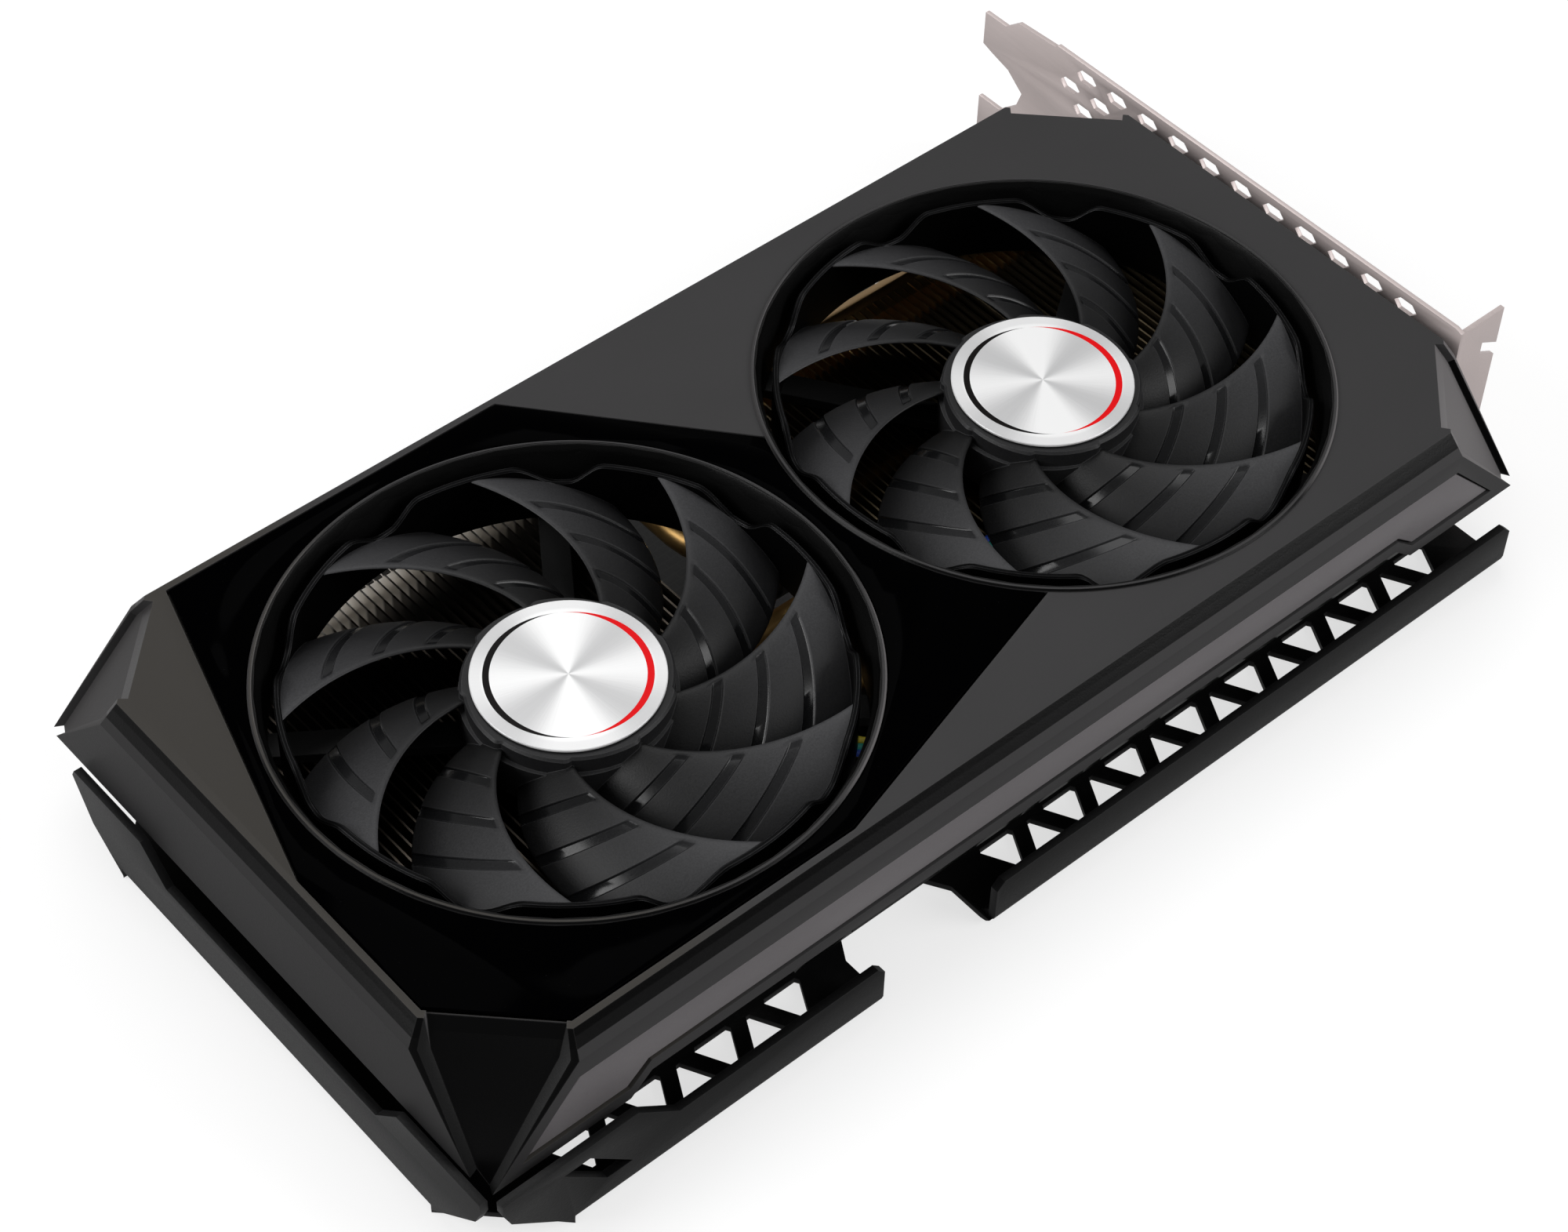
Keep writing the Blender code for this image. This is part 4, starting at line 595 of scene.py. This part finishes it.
def add_blade(form, turn, ring_radius, mark):
    """One blade with rounded edges and grooves; its points keep their place for the finish."""
    rows, chords = 24, 28
    step = 0.001
    spans = {i / rows for i in range(rows + 1)}
    for centre in GROOVE_SPANS:
        for offset in (GROOVE_HALF, GROOVE_HALF - GROOVE_WALL):
            spans |= {centre - offset, centre + offset}
    rings = []
    for span in sorted(spans):
        sides = ([], [])
        for j in range(chords + 1):
            chord = 0.5 - 0.5 * math.cos(math.pi * j / chords)
            here = blade_point(span, chord, ring_radius)
            out = blade_point(span + step, chord, ring_radius) - here
            on = blade_point(span, chord + step, ring_radius) - here
            normal = out.cross(on).normalized()
            thick = BLADE_THICK / 2 * (1 - abs(2 * chord - 1) ** BLADE_SQUARENESS) ** 0.5
            depth = groove_depth(span, chord)
            sides[0].append((here + normal * thick * (1 - GROOVE_SHARE * depth), (span, chord, 1 + depth)))
            sides[1].append((here - normal * thick, (span, chord, 1)))
        loop = sides[0] + sides[1][-2:0:-1]
        ring = []
        for place, note in loop:
            vertex = form.verts.new(turn @ place)
            vertex[mark] = note
            ring.append(vertex)
        rings.append(ring)
    skin(form, rings)
    form.faces.new(rings[0])
    form.faces.new(rings[-1])


def add_ring(form, ring_radius):
    """The toothed ring round the blade tips."""
    steps = FAN_BLADES * 36
    inner, outer, round_edge = ring_radius - RING_WALL, ring_radius, RING_WALL * 0.25
    rings = []
    for i in range(steps):
        angle = 2 * math.pi * i / steps
        top = ring_top(angle)
        profile = [(inner, round_edge), (inner + round_edge, 0), (outer - round_edge, 0), (outer, round_edge),
                   (outer, top - round_edge), (outer - round_edge, top), (inner + round_edge, top),
                   (inner, top - round_edge)]
        rings.append([form.verts.new((r * math.cos(angle), r * math.sin(angle), z)) for r, z in profile])
    skin(form, rings + rings[:1])


def add_hub(form, depth, mark):
    """The hub cap, with shallow ramps cut round its rim."""
    steps = FAN_BLADES * 24
    inner = HUB_RADIUS - HUB_WALL
    rings = []
    for i in range(steps):
        angle = 2 * math.pi * i / steps
        share = (angle % FAN_PITCH_ANGLE) / FAN_PITCH_ANGLE
        ramp = HUB_RAMP * (share if share < HUB_CLIMB else (1 - share) / (1 - HUB_CLIMB) * HUB_CLIMB)
        rim = HUB_RADIUS - HUB_RAMP - HUB_RIM_GAP + ramp
        profile = [(inner, depth - HUB_WALL), (inner, 0), (HUB_RADIUS - HUB_FOOT[0], 0),
                   (HUB_RADIUS, HUB_FOOT[1]), (HUB_RADIUS, depth - HUB_STEP[0]), (rim, depth - HUB_STEP[1]),
                   (rim, depth - HUB_EDGE), (rim - HUB_EDGE, depth), (LABEL_RADIUS * 0.5, depth)]
        ring = [form.verts.new((r * math.cos(angle), r * math.sin(angle), z)) for r, z in profile]
        for vertex in ring:
            vertex[mark] = HUB_TONE
        rings.append(ring)
    skin(form, rings + rings[:1], closed=False)
    form.faces.new([ring[-1] for ring in rings])
    form.faces.new([ring[0] for ring in rings])


def turned_rings(form, centre, profile, steps):
    """Rows of vertices for a profile of radius and height that is turned about a fan's axis."""
    rings = []
    for i in range(steps):
        angle = 2 * math.pi * i / steps
        rings.append([form.verts.new((centre.x + r * math.cos(angle), centre.y + r * math.sin(angle), z))
                      for r, z in profile])
    return rings


def add_box(form, low, high):
    """A box between two corners."""
    size = Vector(high) - Vector(low)
    place = Matrix.Translation((Vector(low) + Vector(high)) / 2) @ Matrix.Diagonal((*size, 1))
    bmesh.ops.create_cube(form, size=1, matrix=place)


def new_piece(name, form, finish, body, replaced=None):
    """Finishes a mesh piece and fixes it to a body of the frame."""
    bmesh.ops.recalc_face_normals(form, faces=form.faces)
    mesh = bpy.data.meshes.new(name)
    form.to_mesh(mesh)
    form.free()
    mesh.shade_smooth()
    mesh.set_sharp_from_angle(angle=SMOOTH_ANGLE)
    mesh.materials.append(finish.material)
    piece = bpy.data.objects.new(name, mesh)
    bpy.context.scene.collection.objects.link(piece)
    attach(piece, body)
    if replaced:
        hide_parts(replaced)


def make_rotor(side, finish):
    """A fan's blades, ring and hub as one moulding, in the place of the plain rotor."""
    low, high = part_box(f"{side}_fan_rotor")
    ring_radius = (high.x - low.x + high.y - low.y) / 4
    centre = FAN_CENTRES[side]
    form = bmesh.new()
    mark = form.verts.layers.float_vector.new("blade_place")
    for blade in range(FAN_BLADES):
        turn = Matrix.Rotation(FAN_PITCH_ANGLE * blade, 3, "Z")
        add_blade(form, turn, ring_radius, mark)
    add_ring(form, ring_radius)
    add_hub(form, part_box(f"{side}_hub_label")[0].z - HUB_LABEL_GAP - low.z, mark)
    place = Matrix.Translation((centre.x, centre.y, low.z)) @ Matrix.Rotation(FAN_PHASES[side], 4, "Z")
    bmesh.ops.transform(form, matrix=place, verts=form.verts)
    new_piece(f"{side}_rotor_moulding", form, finish, f"{side}_fan", f"{side}_fan_rotor")


def make_label(side):
    """A round hub label with a fine edge, in the place of the plain one."""
    low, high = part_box(f"{side}_hub_label")
    centre = FAN_CENTRES[side]
    profile = [(LABEL_RADIUS, low.z), (LABEL_RADIUS, high.z - LABEL_EDGE),
               (LABEL_RADIUS - LABEL_EDGE, high.z), (LABEL_RADIUS * 0.5, high.z)]
    form = bmesh.new()
    rings = turned_rings(form, centre, profile, steps=120)
    skin(form, rings + rings[:1], closed=False)
    form.faces.new([ring[0] for ring in rings])
    form.faces.new([ring[-1] for ring in rings])
    finish = hub_label(centre)
    new_piece(f"{side}_label_disc", form, finish, f"{side}_fan", f"{side}_hub_label")


def make_fins(side, finish):
    """A stack of thin fins with folded feet and tabs, in the place of the plain fin stack."""
    low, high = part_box(f"{side}_fin_stack")
    form = bmesh.new()
    count = int((high.x - low.x) / FIN_PITCH)
    pitch = (high.x - low.x - FIN_THICK) / count
    notch_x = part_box("power_socket")[0].x - FIN_SOCKET_GAP
    notch_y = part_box("power_socket")[1].y + FIN_SOCKET_GAP
    foot_depth, foot_height = FIN_FOOT
    tab_depth, tab_thick = FIN_TAB
    for i in range(count + 1):
        x = low.x + i * pitch
        foot_end, tab_end = min(x + pitch, high.x), min(x + pitch * FIN_TAB_SHARE, high.x)
        front = low.y
        if side == "tail" and x + FIN_THICK > notch_x:
            front = notch_y
        add_box(form, (x, front, low.z), (x + FIN_THICK, high.y, high.z))
        add_box(form, (x, high.y - foot_depth, low.z), (foot_end, high.y, low.z + foot_height))
        add_box(form, (x, high.y - tab_depth, high.z - tab_thick), (tab_end, high.y, high.z))
    new_piece(f"{side}_fine_fins", form, finish, "card", f"{side}_fin_stack")


def round_edges(piece, bevel):
    """Smooth shading across curves and a fine rounded edge."""
    piece.data.shade_smooth()
    merge = piece.modifiers.new("merge", "WELD")
    merge.merge_threshold = MERGE_REACH
    if bevel:
        flat = piece.modifiers.new("flats", "DECIMATE")
        flat.decimate_type = "DISSOLVE"
        flat.angle_limit = FLAT_ANGLE
        edge = piece.modifiers.new("edges", "BEVEL")
        edge.width = bevel
        edge.segments = 2
        edge.limit_method = "ANGLE"
        edge.angle_limit = EDGE_ANGLE
        edge.harden_normals = True


def raise_tail_edge(mesh, low):
    """Lifts the low edge of the shroud's tail wall clear of the tray's lip."""
    lean, run = FACET_EDGE_RUN
    for vertex in mesh.vertices:
        place = vertex.co
        in_wall = place.x < TAIL_WALL and TAIL_WALL_ENDS[0] < place.y < TAIL_WALL_ENDS[1]
        if in_wall and place.z < low + TAIL_EDGE_REACH:
            vertex.co += Vector((lean, math.copysign(run, -place.y), 1)) * TAIL_EDGE_RAISE


def slope_corner_walls(mesh, low):
    """Slopes the side walls of the front corner's recess and gives them the second finish."""
    moved = set()
    for vertex in mesh.vertices:
        place = vertex.co
        in_corner = place.x < CORNER_ENDS[0] and place.y < CORNER_ENDS[1] and place.z < BEVEL_LINE
        if in_corner and abs(place.dot(CORNER_FACING) - CORNER_FLOOR) < CORNER_FLOOR_REACH:
            share = (place.z - low) / (BEVEL_LINE - low)
            slide = CORNER_SLIDES[0] + (CORNER_SLIDES[1] - CORNER_SLIDES[0]) * share
            vertex.co += CORNER_LINE * math.copysign(slide, CORNER_MIDDLE - place.dot(CORNER_LINE))
            moved.add(vertex.index)
    mesh.update()
    steep, flat = CORNER_WALL_FACING
    for face in mesh.polygons:
        if moved.intersection(face.vertices) and steep < face.normal.dot(CORNER_FACING) < flat:
            face.material_index = 1


def make_shroud(finish, wall_finish):
    """The shroud with its tail edge raised and its front corner's walls sloped."""
    mesh = NODES["fan_shroud"].data.copy()
    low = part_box("fan_shroud")[0].z
    mesh.materials.clear()
    mesh.materials.append(finish.material)
    mesh.materials.append(wall_finish.material)
    raise_tail_edge(mesh, low)
    slope_corner_walls(mesh, low)
    piece = bpy.data.objects.new("shroud_moulding", mesh)
    bpy.context.scene.collection.objects.link(piece)
    round_edges(piece, SHROUD_EDGE)
    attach(piece, "card")
    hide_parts("fan_shroud")


def make_collar(side, finish):
    """A smooth round collar over the duct's wall and rim."""
    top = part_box("fan_shroud")[1].z
    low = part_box(f"{side}_fan_rotor")[0].z
    inner, outer = DUCT_RADIUS - COLLAR_COVER[0], DUCT_OUTER + COLLAR_COVER[1]
    profile = [(inner, low), (inner, top - COLLAR_WALL_TOP)]
    profile += [(outer - inset, top + rise) for inset, rise in COLLAR_LIP]
    profile.append((outer - COLLAR_WALL, low))
    form = bmesh.new()
    rings = turned_rings(form, FAN_CENTRES[side], profile, steps=176)
    skin(form, rings + rings[:1])
    new_piece(f"{side}_duct_collar", form, finish, "card")


def make_wires(side):
    """Three flat insulated wires that leave one arm of the fan's spider for the duct's wall."""
    arm_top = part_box(f"{side}_fan_rotor")[0].z - ARM_GAP
    centre = Matrix.Translation(FAN_CENTRES[side].to_2d().to_3d())
    width, height = WIRE_SIZE
    steps, sides = 12, 14
    for i, (name, tones) in enumerate(WIRE_TONES.items()):
        form = bmesh.new()
        rings = []
        for j in range(steps + 1):
            out = WIRE_RUN[0] + (WIRE_RUN[1] - WIRE_RUN[0]) * j / steps
            swing = WIRE_SWING * soft_step(out, *WIRE_BEND)
            place = centre @ Matrix.Rotation(ARM_ANGLES[side] + swing, 4, "Z")
            across = (1 - i) * width * WIRE_SPACING + WIRE_WAVE * math.sin(WIRE_WAVE_STEP * j + i)
            ring = []
            for k in range(sides):
                angle = 2 * math.pi * k / sides
                spot = Vector((out, across + width / 2 * math.cos(angle),
                               arm_top + height / 2 + height / 2 * math.sin(angle)))
                ring.append(form.verts.new(place @ spot))
            rings.append(ring)
        skin(form, rings)
        form.faces.new(rings[0])
        form.faces.new(rings[-1])
        finish = grained_plastic(f"wire_{name}", *tones, 0.4)
        new_piece(f"{side}_wire_{name}", form, finish, "card")


def make_contacts(finish):
    """Gold contacts on both faces of the board's edge connector."""
    low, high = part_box("circuit_board")
    width, length, thick = CONTACT_SIZE
    back = high.y - CONTACT_SETBACK
    form = bmesh.new()
    for i in range(CONTACT_COUNT):
        x = TAB_END - CONTACT_FIRST - i * CONTACT_PITCH
        if TAB_KEY[0] < x < TAB_KEY[1]:
            continue
        for face in (high.z, low.z):
            add_box(form, (x - width / 2, back - length, face - thick), (x + width / 2, back, face + thick))
    new_piece("edge_contacts", form, finish, "card")


def make_display_insides(plastic, metal):
    """A tongue with contacts in each display socket."""
    tongues, contacts = bmesh.new(), bmesh.new()
    half, thick = TONGUE_HALF
    reach = thick + CONTACT_SIZE[2]
    for i in range(SOCKET_COUNT):
        low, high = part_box(f"display_socket_{i + 1}")
        middle = (low + high) / 2
        back, front = high.x - SOCKET_DEPTH, high.x - TONGUE_SETBACK
        add_box(tongues, (back, middle.y - half, middle.z - thick),
                (front, middle.y + half, middle.z + thick))
        for j in range(TONGUE_CONTACTS):
            y = middle.y + (j - (TONGUE_CONTACTS - 1) / 2) * CONTACT_PITCH
            add_box(contacts, (back + TONGUE_CONTACT_ENDS[0], y - TONGUE_CONTACT_HALF, middle.z - reach),
                    (front - TONGUE_CONTACT_ENDS[1], y + TONGUE_CONTACT_HALF, middle.z + reach))
    new_piece("display_tongues", tongues, plastic, "card")
    new_piece("display_contacts", contacts, metal, "card")


def make_power_pins(metal):
    """A pin in each cell of the power socket."""
    low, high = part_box("power_socket")
    middle = (low + high) / 2
    half = POWER_PIN / 2
    form = bmesh.new()
    for column in range(POWER_COLUMNS):
        for row in range(POWER_ROWS):
            x = middle.x + (column - (POWER_COLUMNS - 1) / 2) * POWER_CELL_PITCH
            z = middle.z + (row - (POWER_ROWS - 1) / 2) * POWER_CELL_PITCH
            add_box(form, (x - half, low.y + POWER_PIN_SETBACK, z - half),
                    (x + half, low.y + POWER_CELL_DEPTH, z + half))
    new_piece("power_pins", form, metal, "card")


def node_looks(black):
    """The finish and the width of the rounded edges of each kind of CAD node that keeps its shape."""
    inlay = grained_plastic("inlay_grey", (0.14, 0.13, 0.135), (0.205, 0.192, 0.199), 0.42)
    steel = brushed_metal("ground_steel", (0.45, 0.45, 0.45), (0.7, 0.7, 0.7), 0.3, (1, 1, 0.05))
    bracket = brushed_metal("bracket_steel", (0.6, 0.515, 0.5), (0.75, 0.655, 0.64), 0.42,
                            (1, 0.06, 1), 0.35)
    shell = brushed_metal("socket_shell", (0.45, 0.44, 0.42), (0.66, 0.64, 0.6), 0.3, (0.1, 1, 1))
    can = brushed_metal("can_aluminium", (0.5, 0.5, 0.52), (0.8, 0.8, 0.82), 0.3, (1, 1, 0.05))
    magnet = grained_plastic("ferrite", (0.03, 0.03, 0.033), (0.06, 0.06, 0.065), 0.5)
    winding = copper("winding_copper", (0.16, 0.07, 0.04), (0.4, 0.2, 0.12))
    pipe = copper("pipe_copper", (0.5, 0.3, 0.1), (0.78, 0.5, 0.2))
    package = grained_plastic("package_green", (0.01, 0.035, 0.016), (0.02, 0.06, 0.03), 0.4)
    die = brushed_metal("silicon", (0.1, 0.11, 0.13), (0.16, 0.17, 0.2), 0.2, (1, 1, 1))
    chip = grained_plastic("chip_epoxy", (0.01, 0.01, 0.011), (0.02, 0.02, 0.022), 0.45)
    choke = grained_plastic("choke_grey", (0.05, 0.05, 0.053), (0.1, 0.1, 0.105), 0.5)
    sleeve = grained_plastic("lead_sleeve", (0.01, 0.01, 0.01), (0.03, 0.03, 0.03), 0.6)
    return {"gloss_panel": (gloss_black(), 0.2 * MM),
            "side_inlay": (inlay, 0.2 * MM),
            "backplate_tray": (tray_paint(), 0.3 * MM),
            "slot_bracket": (bracket, 0.15 * MM),
            "circuit_board": (solder_mask(), 0),
            "power_socket": (black, 0.15 * MM),
            "fan_header": (black, 0.15 * MM),
            "fan_spider": (black, 0.2 * MM),
            "fan_magnet": (magnet, 0),
            "fan_shaft": (steel, 0),
            "fan_stator": (winding, 0),
            "fan_lead": (sleeve, 0),
            "heat_pipe": (pipe, 0),
            "cold_plate": (pipe, 0),
            "memory_chip": (chip, 0.1 * MM),
            "choke": (choke, 0.2 * MM),
            "capacitor": (can, 0),
            "display_socket": (shell, 0.15 * MM),
            "board_screw": (steel, 0),
            "gpu_package": (package, 0),
            "gpu_die": (die, 0)}


def dress_nodes(looks):
    """Gives each CAD node the finish and edges of the kind that its name holds."""
    for name, piece in NODES.items():
        for kind, (finish, bevel) in looks.items():
            if kind in name:
                piece.data.materials.clear()
                piece.data.materials.append(finish.material)
                round_edges(piece, bevel)


def make_fixed_pieces():
    """The shroud, the nodes that keep their shape, and the small pieces added to them."""
    shroud = shroud_plastic()
    corner = grained_plastic("corner_wall", (0.004, 0.004, 0.0041), (0.008, 0.008, 0.0082), 0.5)
    black = grained_plastic("black_plastic", (0.006, 0.006, 0.006), (0.014, 0.014, 0.014), 0.5)
    gold = brushed_metal("contact_gold", (0.6, 0.42, 0.13), (0.82, 0.62, 0.26), 0.28, (1, 0.1, 1), 0.5)
    make_shroud(shroud, corner)
    for side in FAN_SIDES:
        make_collar(side, shroud)
        make_wires(side)
    dress_nodes(node_looks(black))
    make_contacts(gold)
    make_display_insides(black, gold)
    make_power_pins(gold)


def make_fans_and_fins():
    """Both fans' turning pieces, and the fin stacks under them."""
    plastic = fan_plastic()
    # Painted shade on the fins' bodies, a painted highlight on their rear edges, and on the bracket side a
    # golden tint that is a painted reflection of the copper
    fins = {"tail": fin_metal("tail", (0.07, 0.06, 0.05), (0.2, 0.17, 0.14), (0.9, 0.86, 0.8)),
            "bracket": fin_metal("bracket", (0.12, 0.095, 0.06), (0.3, 0.24, 0.15), (0.75, 0.5, 0.2))}
    for side in FAN_SIDES:
        make_rotor(side, plastic)
        make_label(side)
        make_fins(side, fins[side])


def make_floor():
    """A pale floor that shows near white to the camera."""
    form = bmesh.new()
    corners = [form.verts.new((x * FLOOR_HALF, y * FLOOR_HALF, CAD_BOX[0].z - FLOOR_DROP))
               for x, y in ((-1, -1), (1, -1), (1, 1), (-1, 1))]
    form.faces.new(corners)
    mesh = bpy.data.meshes.new("floor")
    form.to_mesh(mesh)
    form.free()
    floor = bpy.data.objects.new("floor", mesh)
    bpy.context.scene.collection.objects.link(floor)
    paint = Finish("floor_paint", roughness=0.9, specular=0.05, emission_strength=1.0)
    paint.set("base_color", paint.mix(paint.noise(0.4), (0.35, 0.35, 0.35), (0.37, 0.37, 0.37)))
    seen = paint.node("ShaderNodeLightPath", {}, {}, "Is Camera Ray")
    mirrored = paint.node("ShaderNodeLightPath", {}, {}, "Is Glossy Ray")
    paint.set("emission_color", paint.mix(seen + 0.3 * mirrored, (0, 0, 0), (0.68, 0.68, 0.68)))
    mesh.materials.append(paint.material)


def make_light():
    """A soft even sky and three large soft lamps."""
    world = bpy.data.worlds.new("studio")
    bpy.context.scene.world = world
    world.use_nodes = True
    sky = Graph(world.node_tree)
    seen = sky.node("ShaderNodeLightPath", {}, {}, "Is Camera Ray")
    mirrored = sky.node("ShaderNodeLightPath", {}, {}, "Is Glossy Ray")
    background = world.node_tree.nodes["Background"]
    sky.feed(background.inputs["Color"], (1, 1, 1))
    sky.feed(background.inputs["Strength"], 0.4 + 0.6 * seen - 0.18 * mirrored)
    for name, place, size, power in LAMPS:
        lamp = bpy.data.lights.new(name, "AREA")
        lamp.shape = "DISK"
        lamp.size = size
        lamp.energy = power
        holder = bpy.data.objects.new(name, lamp)
        holder.location = place
        aim = LAMP_AIM - Vector(place)
        holder.rotation_euler = aim.to_track_quat("-Z", "Y").to_euler()
        bpy.context.scene.collection.objects.link(holder)


def make_camera():
    """The photograph's camera."""
    data = bpy.data.cameras.new("camera")
    data.lens = CAMERA_LENS
    data.sensor_width = CAMERA_SENSOR
    camera = bpy.data.objects.new("camera", data)
    turn = (CAMERA_AIM - CAMERA_PLACE).to_track_quat("-Z", "Y").to_matrix().to_4x4()
    camera.matrix_world = Matrix.Translation(CAMERA_PLACE) @ turn @ Matrix.Rotation(CAMERA_ROLL, 4, "Z")
    bpy.context.scene.collection.objects.link(camera)
    bpy.context.scene.camera = camera


bpy.context.scene.view_settings.view_transform = "Standard"
make_camera()
make_floor()
make_light()
make_fixed_pieces()
make_fans_and_fins()
